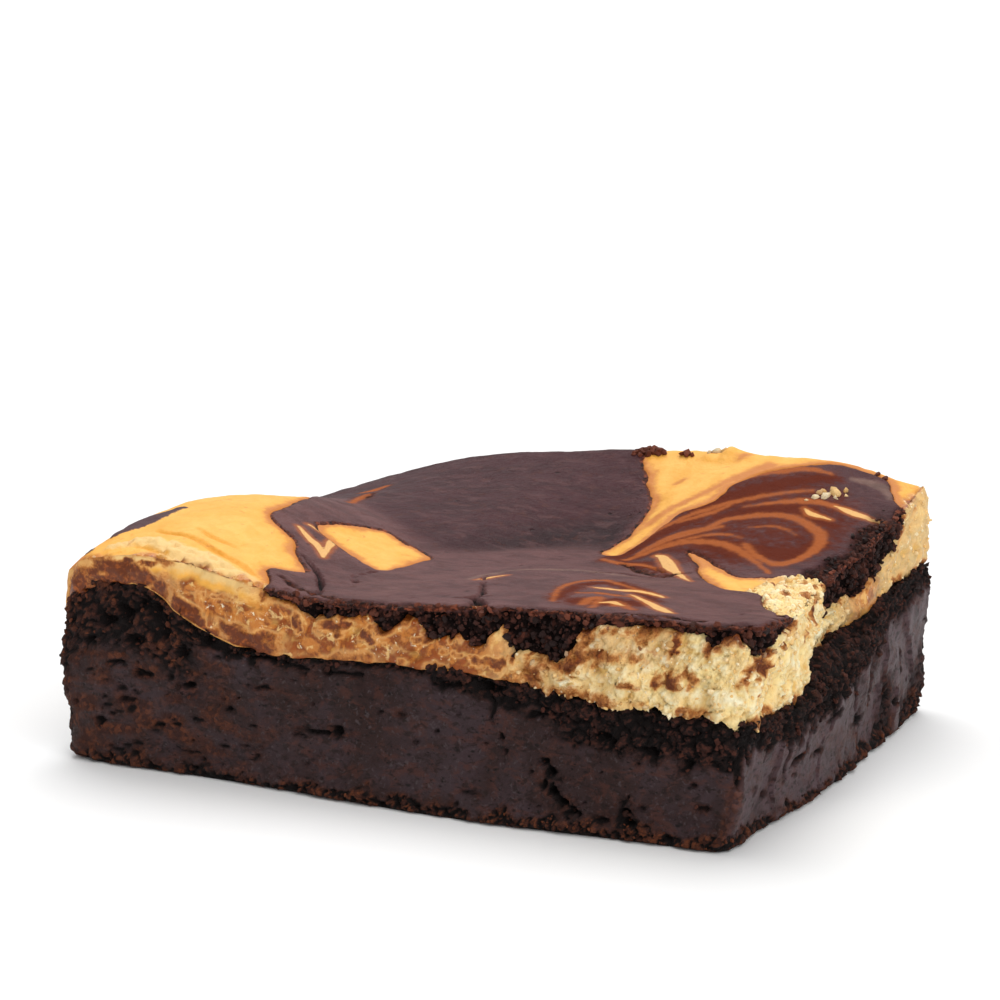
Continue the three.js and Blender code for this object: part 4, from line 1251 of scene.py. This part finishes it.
def make_base(colours):
    """The chocolate base, replacing its solid."""
    points, faces, masks = base_surface()
    piece = new_piece("chocolate_base_cake", points, faces, masks, cake_material(colours))
    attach(piece, "root")
    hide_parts("chocolate_base")
    return piece


def skin_edge(points, plan):
    """Signed distances, positive inside, to the skin in plan and to its lower edge on the cut faces."""
    in_plan = skin_inside(plan)
    waver = 1.0 + 0.25 * lumps(points, 1.8, 51) + 0.2 * lumps(points, 0.9, 52)
    above = points[:, 2] - (cake_top(plan[:, 0], plan[:, 1]) - skin_depth(plan[:, 0], plan[:, 1]) * waver)
    return in_plan, above


def cut_relief(points, sponge):
    """Relief that the cheese and the skin share at the cuts: broken away where the cheese is airy."""
    return 0.2 * rough(points, 3.5, 2, 61) + sponge * (0.7 * rough(points, 3.2, 2, 62) + 0.1)


def sponge_share(x, y):
    """Where the cheese is airy: towards the near corner, along both cuts."""
    return np.maximum(ramp(12, 20, x) * ramp(12, 2, y), 0.6 * ramp(38, 41, x) * ramp(12, 18, y))


def cheese_floor(x, y):
    """Underside of the cheese, a little inside the base."""
    return base_top(x, y) - 0.5


def cheese_surface():
    """Points, faces and masks of the cream-cheese layer: its block moved along the normals by grains and
    pores where it is airy, by folds where the knife smeared it, and drawn in where the skin covers it."""
    points, plan, share, faces = cake_block(cheese_floor, CHEESE_LEVELS, False, UPPER_CORNERS, True, TUCK)
    normals, front, right, tin = outward(points, faces, share)
    lump = functools.partial(lumps, points)
    (x, y, z), (plan_x, plan_y) = points.T, plan.T
    side = (share >= 0) * (share < 1) * 1.0
    on_top = (share >= 1) * 1.0
    cut = side * np.clip(front + right, 0, 1)
    in_plan, above = skin_edge(points, plan)
    under = ramp(-0.3, 0.4, np.minimum(in_plan, np.where(share < 1, above, 9.0)))
    torn_top = on_top * ramp(33.5, 36.5, x + 1.6 * lump(2.6, 85)) * ramp(-29, -25, y) * ramp(5, 1, y)
    sponge = np.maximum(cut * sponge_share(x, y), torn_top)
    coarse, _, _ = granules(points, (1.7, 1.7, 1.2), 71)
    small, _, gaps = granules(points, (0.8, 0.8, 0.6), 72)
    pores = pits(points, (1.5, 1.5, 0.8), 0.38, 0.6, 73)
    deep_pores = pits(points, (3.4, 3.4, 2.0), 0.3, 0.4, 74)
    shared = cut_relief(points, sponge) * cut
    airy = sponge * (1 - under)
    broken = 0.7 * coarse + 0.6 * small + 0.22 * rough(points, (1.7, 1.7, 1.0), 2, 59)
    relief = shared + airy * (broken - 0.4 * pores - 0.6 * deep_pores + 0.35)
    # raised marks the grains standing out of the airy cheese; the material paints them lighter, as a painted
    # highlight
    raised = airy * ramp(0.1, 0.8, relief - shared)
    smear = cut * (1 - sponge) * (1 - under)
    folds = 1 - np.abs(rough(points, (3.0, 3.0, 5.0), 2, 75))
    relief = relief + smear * (0.5 * (folds - 0.7) + 0.14 * rough(points, 0.9, 2, 88) - 0.4 * deep_pores)
    pale, ochre = stroke_inside(plan, PALE_CREST), stroke_inside(plan, OCHRE_FOLDS)
    cocoa, brown = stroke_inside(plan, DARK_ISLANDS), stroke_inside(plan, BROWN_SPOTS)
    bare = on_top * ramp(0.2, -0.4, in_plan)
    relief = relief + bare * (0.13 * rough(points, 2.2, 3, 76) + 0.16 * lump(5.0, 77))
    strokes = 0.35 * ramp(-0.6, 0.8, pale) - 0.4 * ramp(-0.2, 0.3, ochre) + 0.2 * ramp(-0.3, 0.4, cocoa)
    relief = relief + bare * strokes
    crest = on_top * ramp(-0.5, 0.8, pale + 0.5 * lump(1.4, 89))
    relief = relief + front * side * 1.5 * bell(np.hypot((x - 30.4) / 1.5, (z - 17.2) / 0.9))
    relief = relief + crest * (0.7 * granules(points, (1.5, 1.5, 1.0), 90)[0] + 0.25 * small)
    rim = np.minimum(plan_y + HALF_DEPTH, HALF_LENGTH - plan_x)
    relief = relief + bare * ramp(1.8, 0.2, rim) * (0.5 * coarse + 0.4 * small - 0.3)
    knobs = on_top * ramp(28.6, 30.6, y) * bell((x - 15.6) / 2.8)
    relief = relief + knobs * (0.6 + 0.9 * lump(1.5, 54)) + 0.12 * tin * side * rough(points, 2.0, 3, 78)
    moved = points + normals * np.where(share <= 0, 0.0, relief)[:, None]
    moved = drawn_in(moved, plan, 1.7 * under * (share >= 0), 1.0 * under * on_top, 0.0)
    jagged = 0.15 + 0.55 * lump(1.7, 86) + 0.35 * lump(0.8, 87)
    moved[:, 2] += cut * sponge * ramp(0.45, 0.0, share) * jagged

    top = np.maximum(on_top * ramp(0.1, 1.2, rim + 0.9 * lump(1.5, 79)), tin * side) * (1 - torn_top)
    over_edge = (cake_top(plan_x, plan_y) - z) / 4.6 + 0.22 * lump((3.0, 3.0, 1.8), 64) + 0.1 * lump(1.0, 65)
    top = np.maximum(top, front * side * ramp(-13, -19, x) * ramp(0.62, 0.38, over_edge))
    stain = front * np.clip(torn(x, z, FRONT_STAINS, points)[0], 0, 1)
    stain = np.maximum(stain, right * np.clip(torn(y, z, SIDE_STAINS, points)[0], 0, 1))
    near_band = ramp(-1.3, 0.1, above) * ramp(-1.5, 0.5, in_plan)
    above_base = z - base_top(plan_x, plan_y)
    over_base = above_base + 0.7 * lump(1.6, 66)
    near_base = ramp(1.4, 0.3, over_base)
    on_hump = front * ramp(-10, -16, x) * ramp(3.0, 1.6, over_base)
    on_hump = on_hump * ramp(-0.7, 0.1, lump((1.8, 1.8, 1.2), 67))
    uneven = lump(1.6, 80)
    hump_side = front * ramp(-24, -29, x) * ramp(-0.4, 0.5, lump((3.0, 3.0, 1.6), 82))
    stain = cut * np.maximum.reduce([
        stain, 0.9 * near_band * ramp(-0.3, 0.3, uneven), 1.1 * on_hump,
        0.6 * near_base * ramp(-0.3, 0.3, uneven), 0.8 * hump_side])
    stain = np.maximum(stain, 0.75 * airy * ramp(33, 28, x) * ramp(-0.1, 0.7, lump((2.6, 2.6, 1.6), 53)))
    stain = np.maximum(stain, 0.6 * torn_top * ramp(0.1, 0.7, lump(1.5, 55)))
    masks = {
        "top": top, "sponge": sponge, "stain": stain,
        "baked": np.maximum.reduce([
            0.85 * tin * side, 0.8 * front * side * ramp(-34, -39, x + 1.5 * lump(2.5, 84)),
            on_top * ramp(-38.8, -41.5, x + 0.8 * lump(2.0, 81)) * 0.5]),
        # Painted shade in the pores and gaps
        "hollow": (sponge + 0.6 * smear) * np.clip(0.8 * pores + deep_pores + 0.5 * gaps, 0, 1) * (1 - under),
        "browned": np.where(on_top > 0, np.maximum(brown, in_plan + 1.1 + 0.5 * lump(2.6, 56)), -9.0),
        "pale": np.where(front * side > 0, 1.2 - np.abs(cake_top(x, y) - z) + ramp(-12, -16, x) - 1, pale),
        "ochre": ochre, "cocoa": cocoa, "raised": raised,
        "tan": np.maximum(front * ramp(23, 25, x) * ramp(38, 34, x) * ramp(18.0, 19.8, z + lump(1.4, 83)),
                          0.5 * ramp(33, 26, x)),
    }
    by_height = above_base / 6.0 + 0.12 * lump(1.5, 63)
    masks["toasted"] = cut * (1 - sponge) * np.clip(
        ramp(0.35, 0.0, by_height) + 0.7 * near_band + 0.5 * ramp(-16, -24, x), 0, 1.3)
    masks["loose"] = airy * ramp(0.2, 0.6, airy) * (1.2 - stain) * areas_of(moved, faces)
    masks["warm"] = np.clip(1.5 * stain + 0.6 * masks["tan"], 0, 0.9)
    return moved, faces, masks


def make_cheese(colours):
    """The cream-cheese layer, replacing its solid."""
    points, faces, masks = cheese_surface()
    piece = new_piece("cream_cheese_baked", points, faces, masks, cream_material(colours))
    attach(piece, "root")
    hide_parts("cream_cheese_layer")
    return piece


def skin_floor(x, y):
    """Underside of the sheet that carries the skin, kept inside the cheese."""
    return np.maximum(cake_top(x, y) - 6.9, np.minimum(base_top(x, y) + 0.3, cake_top(x, y) - 1.2))


def skin_surface():
    """Points, faces and masks of the skin: its block moved along the normals by swells, dents, cracks and
    grains where it is broken. Where there is no skin, its sheet runs hidden under the cheese's surface."""
    points, plan, share, faces = cake_block(skin_floor, SKIN_LEVELS, False, UPPER_CORNERS, True, TUCK)
    normals, front, right, _ = outward(points, faces, share)
    lump = functools.partial(lumps, points)
    (x, y, z), (plan_x, plan_y) = points.T, plan.T
    side = (share >= 0) * (share < 1) * 1.0
    on_top = (share >= 1) * 1.0
    cut = side * np.clip(front + right, 0, 1)
    in_plan, above = skin_edge(points, plan)
    both = np.minimum(in_plan, above)
    sponge = cut * sponge_share(x, y)
    coarse, pick, gap = granules(points, 1.25, 91)
    small, pick2, gap2 = granules(points, 0.65, 92)
    holes = pits(points, (2.4, 2.4, 1.6), 0.4, 0.45, 93)
    lip = cake_top(plan_x, plan_y) - z
    band = ramp(0.25, 0.8, lip + 0.45 * lump(1.6, 98))
    broken = 0.9 * coarse + 0.8 * small - 0.8 * holes - 0.35
    relief = side * (cut * cut_relief(points, sponge) + np.clip(2.0 * both, 0.0, 0.15) + cut * band * broken)
    chips = ramp(0.0, 0.5, lump(1.8, 101)) * ramp(1.8, 0.2, np.abs(lip))
    relief = relief + cut * (1 - band) * (0.5 * small + 0.2 * coarse + 0.1) - cut * 0.6 * chips
    crack = stroke_inside(plan, CRACKS)
    dents = pits(points, (3.2, 3.2, 3.2), 0.11, 0.4, 99)
    swell = 0.09 * rough(points, 2.4, 3, 94) + 0.16 * lump(7.0, 95)
    bitten = on_top * ramp(3.6, 1.6, HALF_LENGTH - plan_x + 1.2 * lump(2.2, 57))
    bitten = bitten * ramp(-6, 0, y) * ramp(24, 16, y)
    rim = np.minimum(plan_y + HALF_DEPTH, HALF_LENGTH - plan_x)
    crumbly = on_top * ramp(1.1, 0.2, rim + 0.7 * lump(1.5, 58)) * (plan_y < 26)
    flaked = on_top * ramp(-0.25, 0.35, stroke_inside(plan, FLAKED) + 0.4 * lump(0.9, 60))
    crumbly = np.maximum(crumbly, flaked)
    relief = relief + np.maximum(bitten, crumbly) * (0.5 * coarse + 0.4 * small - 0.25)
    raised = np.clip(0.6 * in_plan, 0.0, 0.14) + swell * ramp(0.0, 0.8, in_plan) - 0.25 * dents
    relief = relief + on_top * raised
    crack_depth = ramp(-0.12, 0.1, crack + 0.25 * lump(0.8, 96))
    relief = relief - on_top * 0.9 * crack_depth - 0.5 * side * cut * ramp(2.0, 0.6, lip) * crack_depth
    relief = np.where(share <= 0, 0.0, relief)
    moved = points + normals * relief[:, None]
    hidden = np.where(side > 0, both, in_plan)
    moved = drawn_in(moved, plan, np.clip(-2.0 * hidden, 0.0, 2.8) * (share >= 0),
                     np.clip(-0.6 * in_plan, 0.0, 1.7) * on_top, 1.0)

    broken_edge = np.maximum(ramp(0.8, 0.05, rim + 0.3 * lump(0.9, 100)), ramp(0.5, 0.0, in_plan) * 0.8)
    start = crease(x)
    swirl = 0.25 - 4.0 * np.maximum(np.hypot((plan_x - 25.5) / 13.5, (plan_y - 13.5) / 13.5) - 0.85, 0.0)
    left_dome = ramp(-1.5, 3.0, plan_y - start) * ramp(14, 8, plan_x)
    right_dome = 0.8 * ramp(-4, 4, plan_y) * (plan_x > 11)
    # Painted shade in the holes and gaps of the broken band, and in the cracks and dents on top
    hollow = cut * band * (holes + 0.7 * gap + 0.4 * gap2 + ramp(-0.2, -0.8, broken))
    masks = {
        "cream": stroke_inside(plan, CREAM_STROKES), "caramel": stroke_inside(plan, CARAMEL_STROKES),
        "glaze": np.maximum(stroke_inside(plan, GLAZE_STROKES), swirl),
        # The faint lighter ring, a painted highlight along a shallow crease
        "ring": stroke_inside(plan, CREASE_HIGHLIGHT),
        # Painted shade along the crease at the foot of the dome
        "burnt": bell((plan_y - start - 3.0) / 4.5) * ramp(-14, 2, plan_x) * ramp(11, 8, plan_x),
        "edge": np.maximum.reduce([on_top * broken_edge, cut * (1 - band), flaked]),
        # Where dome is low, towards the long cut, the skin takes the lighter colour of its painted sheen
        "crumb": np.maximum.reduce([cut * band, bitten, 0.6 * crumbly]),
        "dome": np.maximum(left_dome, right_dome),
        "hollow": np.clip(hollow + on_top * crack_depth + on_top * dents, 0, 1),
        "grain": 0.6 * pick + 0.4 * pick2,
    }
    along_rim = on_top * (in_plan > 0) * (rim < 0.5)
    masks["loose"] = (cut * band * (both > 0.1) + 0.5 * along_rim + 0.8 * bitten) * areas_of(moved, faces)
    masks["warm"] = np.clip(0.7 * along_rim + 0.5 * cut * (lip < 1.2), 0, 1)
    return moved, faces, masks


def make_skin(colours):
    """The chocolate skin with its marbling, replacing its solid."""
    points, faces, masks = skin_surface()
    piece = new_piece("chocolate_skin_marbled", points, faces, masks, skin_material(colours))
    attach(piece, "root")
    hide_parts("chocolate_topping")
    return piece


def make_crumbs(sizes, colours):
    """The crumbs that broke from each layer: their material, slot, name and layer, how many, the smallest and
    largest radius, how deep they sit in radii, listed lumps, seed, and whether they are smooth."""
    largest = 0.5 * sizes.crumb_size / MM
    objects = bpy.data.objects
    made = [
        (loose_material("Loose cake crumbs", colours.crumb, colours.crumb_light, colours.crust_light, 0.2),
         "chocolate_cake", "chocolate_cake_crumbs", "chocolate_base_cake",
         CAKE_CRUMBS, (0.1, largest), (-0.55, 0.15), [], 301, False),
        (loose_material(
            "Loose cheese crumbs", colours.sponge_warm, colours.sponge_light, colours.smear_dark, 0.3),
         "cream_cheese", "cream_cheese_crumbs", "cream_cheese_baked",
         CHEESE_CRUMBS, (0.1, 0.9 * largest), (-0.8, 0.0), CHEESE_LUMPS, 311, True),
        (loose_material("Loose skin crumbs", colours.crumb, colours.crumb_light, colours.edge_light, 0.25),
         "chocolate_skin", "chocolate_skin_crumbs", "chocolate_skin_marbled",
         SKIN_CRUMBS, (0.12, 1.2 * largest), (-0.6, 0.2), RIM_LUMPS, 321, False),
    ]
    for material, slot, name, layer, count, radii, sink, placed, seed, smooth in made:
        if layer not in objects:
            raise RuntimeError(layer + " has to be made before its crumbs")
        add_crumbs(name, objects[layer], count, radii, sink, placed, material, seed, smooth)


# The stage

def make_stage(scene):
    """A pale floor, a white room, two broad soft lights and the camera."""
    floor_mesh = bpy.data.meshes.new("floor")
    corners = [(FLOOR_REACH * x, FLOOR_REACH * y, 0) for x, y in ((-1, -1), (1, -1), (1, 1), (-1, 1))]
    floor_mesh.from_pydata(corners, [], [(0, 1, 2, 3)])
    floor = bpy.data.objects.new("floor", floor_mesh)
    scene.collection.objects.link(floor)
    floor.location.z = -0.02 * MM
    material, _, shader = new_material("Pale floor")
    shader.inputs["Base Color"].default_value = (FLOOR_GREY, FLOOR_GREY, FLOOR_GREY, 1.0)
    shader.inputs["Roughness"].default_value = 0.7
    shader.inputs["Specular IOR Level"].default_value = 0.1
    floor_mesh.materials.append(material)

    world = bpy.data.worlds.new("Studio")
    scene.world = world
    world.use_nodes = True
    tree = world.node_tree
    tree.nodes.clear()
    white = (1.0, 1.0, 1.0, 1.0)
    room = put(tree, "Background", {"Color": white, "Strength": ROOM_LIGHT})
    seen = put(tree, "Background", {"Color": white, "Strength": ROOM_SEEN})
    to_camera = put(tree, "LightPath").outputs["Is Camera Ray"]
    mixed = put(tree, "MixShader", {0: to_camera, 1: room.outputs[0], 2: seen.outputs[0]})
    put(tree, "OutputWorld", {"Surface": mixed.outputs[0]})

    for name, strength, spread, towards in LAMPS:
        light = bpy.data.lights.new(name, "SUN")
        light.energy = strength
        light.angle = math.radians(spread)
        lamp = bpy.data.objects.new(name, light)
        lamp.rotation_euler = Vector(towards).to_track_quat("-Z", "Y").to_euler()
        scene.collection.objects.link(lamp)

    camera = bpy.data.cameras.new("camera")
    camera.lens = LENS
    camera.sensor_width = SENSOR
    camera.clip_start = 0.01
    eye = bpy.data.objects.new("camera", camera)
    eye.location = EYE
    eye.rotation_euler = (math.radians(90 - LOOKED_DOWN), 0.0, math.radians(TURNED))
    scene.collection.objects.link(eye)
    scene.camera = eye
    scene.view_settings.view_transform = "Standard"


# Settings

def length_prop(name, description, value):
    """A length that a user can change, in metres."""
    return bpy.props.FloatProperty(
        name=name, description=description, default=value, min=0.0, subtype="DISTANCE", unit="LENGTH")


def colour_prop(name, description, value):
    """A colour that a user can change."""
    return bpy.props.FloatVectorProperty(
        name=name, description=description, default=value, min=0.0, max=1.0, size=3, subtype="COLOR")


class BrownieSizes(bpy.types.PropertyGroup):
    """Sizes that a user would change."""
    crumb_size: length_prop("Crumb size", "Width of the largest loose crumbs", 1.0 * MM)


class BrownieColours(bpy.types.PropertyGroup):
    """Colours that a user would change."""
    cut: colour_prop("Cut cake", "Chocolate base where the knife smoothed it", (0.030, 0.0115, 0.010))
    # Painted sheen and light on the smooth panels of the short cut
    short_cut_sheen: colour_prop("Cut cake, short side", "Smooth panels of the short cut, painted lighter for their sheen and the light from the right", (0.104, 0.060, 0.067))
    cut_light: colour_prop("Cut cake, lighter", "Lighter patches of the smooth cut", (0.050, 0.028, 0.032))
    crumb: colour_prop("Crumb", "Broken chocolate crumb", (0.016, 0.006, 0.005))
    # Painted highlight specks on the smooth cut
    speck_highlight: colour_prop("Highlight specks", "Painted highlights of the grain on the smooth cut", (0.090, 0.066, 0.070))
    crumb_light: colour_prop("Crumb, lighter", "Lighter grains in the crumb", (0.092, 0.028, 0.018))
    crust: colour_prop("Crust", "Reddish crust of the base", (0.052, 0.015, 0.009))
    crust_light: colour_prop("Crust, lighter", "Lighter grains in the crust", (0.18, 0.050, 0.018))
    # Painted shade deep in pits, tears, cracks and gaps
    hollow: colour_prop("Hollows", "Painted shade deep in a pit", (0.005, 0.0018, 0.0016))
    golden: colour_prop("Golden top", "Baked top of the cheese", (0.87, 0.42, 0.065))
    golden_light: colour_prop("Golden top, lighter", "Lighter patches of the baked top", (0.90, 0.48, 0.10))
    golden_deep: colour_prop("Golden top, deeper", "Deeper yellow in folds of the top", (0.74, 0.33, 0.03))
    golden_dark: colour_prop("Golden top, browned", "Browned cheese beside the chocolate", (0.56, 0.19, 0.03))
    pale: colour_prop("Pale crest", "Cheese where the crust broke off", (0.82, 0.54, 0.21))
    baked: colour_prop("Browned side", "Cheese that stood against the tin", (0.66, 0.32, 0.08))
    smear: colour_prop("Smeared cut", "Cheese smeared by the knife", (0.52, 0.175, 0.028))
    smear_dark: colour_prop("Smeared cut, darker", "Browner streaks of the smear", (0.22, 0.050, 0.006))
    smear_light: colour_prop("Smeared cut, lighter", "Lighter flecks of the smear", (0.80, 0.44, 0.135))
    sponge: colour_prop("Airy cheese", "Pale, airy cheese at the cut", (0.95, 0.74, 0.34))
    sponge_warm: colour_prop("Airy cheese, warmer", "Warmer patches of the airy cheese", (0.90, 0.57, 0.21))
    tan: colour_prop("Airy cheese, tanned", "Airy cheese under the skin", (0.60, 0.29, 0.125))
    # Also the painted highlight on the raised grains of the airy cheese
    sponge_light: colour_prop("Airy cheese, lighter", "Lightest flecks and crumbs of the cheese, and a painted highlight on raised grains", (0.98, 0.92, 0.66))
    # Painted shade deep in the pores of the airy cheese
    pore_shade: colour_prop("Airy cheese, hollows", "Painted shade deep in a pore", (0.74, 0.44, 0.11))
    stain: colour_prop("Stain", "Chocolate dragged over the cheese", (0.10, 0.016, 0.002))
    stain_light: colour_prop("Stain, lighter", "Thinner chocolate over the cheese", (0.30, 0.068, 0.008))
    skin: colour_prop("Skin", "Baked chocolate skin", (0.062, 0.018, 0.022))
    # Painted shade in the crease low on the dome; also the darker streaks of the skin
    skin_shade_and_streaks: colour_prop("Skin, darker", "Painted shade in the crease low on the dome, and darker streaks", (0.022, 0.006, 0.008))
    # Painted sheen of the skin towards the long cut, and its glossy streaks
    skin_sheen: colour_prop("Skin, lighter", "Painted sheen of the skin towards the long cut, and its glossy streaks", (0.150, 0.065, 0.063))
    # Painted highlight along a shallow crease of the skin
    ring: colour_prop("Crease highlight", "Faint lighter ring painted along a shallow crease of the skin", (0.24, 0.14, 0.11))
    glaze: colour_prop("Glaze", "Thin chocolate over cheese", (0.115, 0.018, 0.006))
    glaze_light: colour_prop("Glaze, lighter", "Thinner chocolate beside a stroke", (0.18, 0.036, 0.010))
    caramel: colour_prop("Caramel stroke", "Darker strokes of the marbling", (0.42, 0.115, 0.030))
    stroke: colour_prop("Cream stroke", "Bright strokes of the marbling", (0.83, 0.47, 0.17))
    edge_light: colour_prop("Skin edge, lighter", "Lighter flakes of the broken edge", (0.27, 0.070, 0.034))
    edge: colour_prop("Skin edge", "Broken edge of the skin", (0.095, 0.022, 0.011))


# Operators, panel and registration

class BrownieOperator:
    """What every operator here shares."""
    bl_options = {"REGISTER", "UNDO"}


class BROWNIE_OT_base(BrownieOperator, bpy.types.Operator):
    """Makes the dense chocolate base"""
    bl_idname = "brownie.make_base"
    bl_label = "Chocolate base"

    def execute(self, context):
        make_base(context.scene.brownie_colours)
        return {"FINISHED"}


class BROWNIE_OT_cheese(BrownieOperator, bpy.types.Operator):
    """Makes the cream-cheese layer"""
    bl_idname = "brownie.make_cheese"
    bl_label = "Cream-cheese layer"

    def execute(self, context):
        make_cheese(context.scene.brownie_colours)
        return {"FINISHED"}


class BROWNIE_OT_skin(BrownieOperator, bpy.types.Operator):
    """Makes the marbled chocolate skin"""
    bl_idname = "brownie.make_skin"
    bl_label = "Chocolate skin"

    def execute(self, context):
        make_skin(context.scene.brownie_colours)
        return {"FINISHED"}


class BROWNIE_OT_crumbs(BrownieOperator, bpy.types.Operator):
    """Scatters the loose crumbs of the three layers"""
    bl_idname = "brownie.make_crumbs"
    bl_label = "Loose crumbs"

    def execute(self, context):
        make_crumbs(context.scene.brownie_sizes, context.scene.brownie_colours)
        return {"FINISHED"}


class BROWNIE_OT_stage(BrownieOperator, bpy.types.Operator):
    """Makes the floor, the soft lights and the camera"""
    bl_idname = "brownie.make_stage"
    bl_label = "Stage"

    def execute(self, context):
        make_stage(context.scene)
        return {"FINISHED"}


class BROWNIE_PT_panel(bpy.types.Panel):
    """Lists the brownie's parts, sizes and colours"""
    bl_label = "Marbled brownie"
    bl_space_type = "VIEW_3D"
    bl_region_type = "UI"
    bl_category = "Brownie"

    def draw(self, context):
        for operator in OPERATORS:
            self.layout.operator(operator.bl_idname)
        for settings in (context.scene.brownie_sizes, context.scene.brownie_colours):
            for name in settings.__annotations__:
                self.layout.prop(settings, name)


OPERATORS = (BROWNIE_OT_base, BROWNIE_OT_cheese, BROWNIE_OT_skin, BROWNIE_OT_crumbs, BROWNIE_OT_stage)
CLASSES = (BrownieSizes, BrownieColours, *OPERATORS, BROWNIE_PT_panel)


def register():
    """Adds the classes, and the settings of the scene."""
    for item in CLASSES:
        bpy.utils.register_class(item)
    bpy.types.Scene.brownie_sizes = bpy.props.PointerProperty(type=BrownieSizes)
    bpy.types.Scene.brownie_colours = bpy.props.PointerProperty(type=BrownieColours)


def unregister():
    """Takes the settings and the classes away."""
    del bpy.types.Scene.brownie_colours
    del bpy.types.Scene.brownie_sizes
    for item in reversed(CLASSES):
        bpy.utils.unregister_class(item)


def main():
    """Registers the classes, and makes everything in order."""
    register()
    bpy.ops.brownie.make_base()
    bpy.ops.brownie.make_cheese()
    bpy.ops.brownie.make_skin()
    bpy.ops.brownie.make_crumbs()
    bpy.ops.brownie.make_stage()


if __name__ == "__main__":
    main()
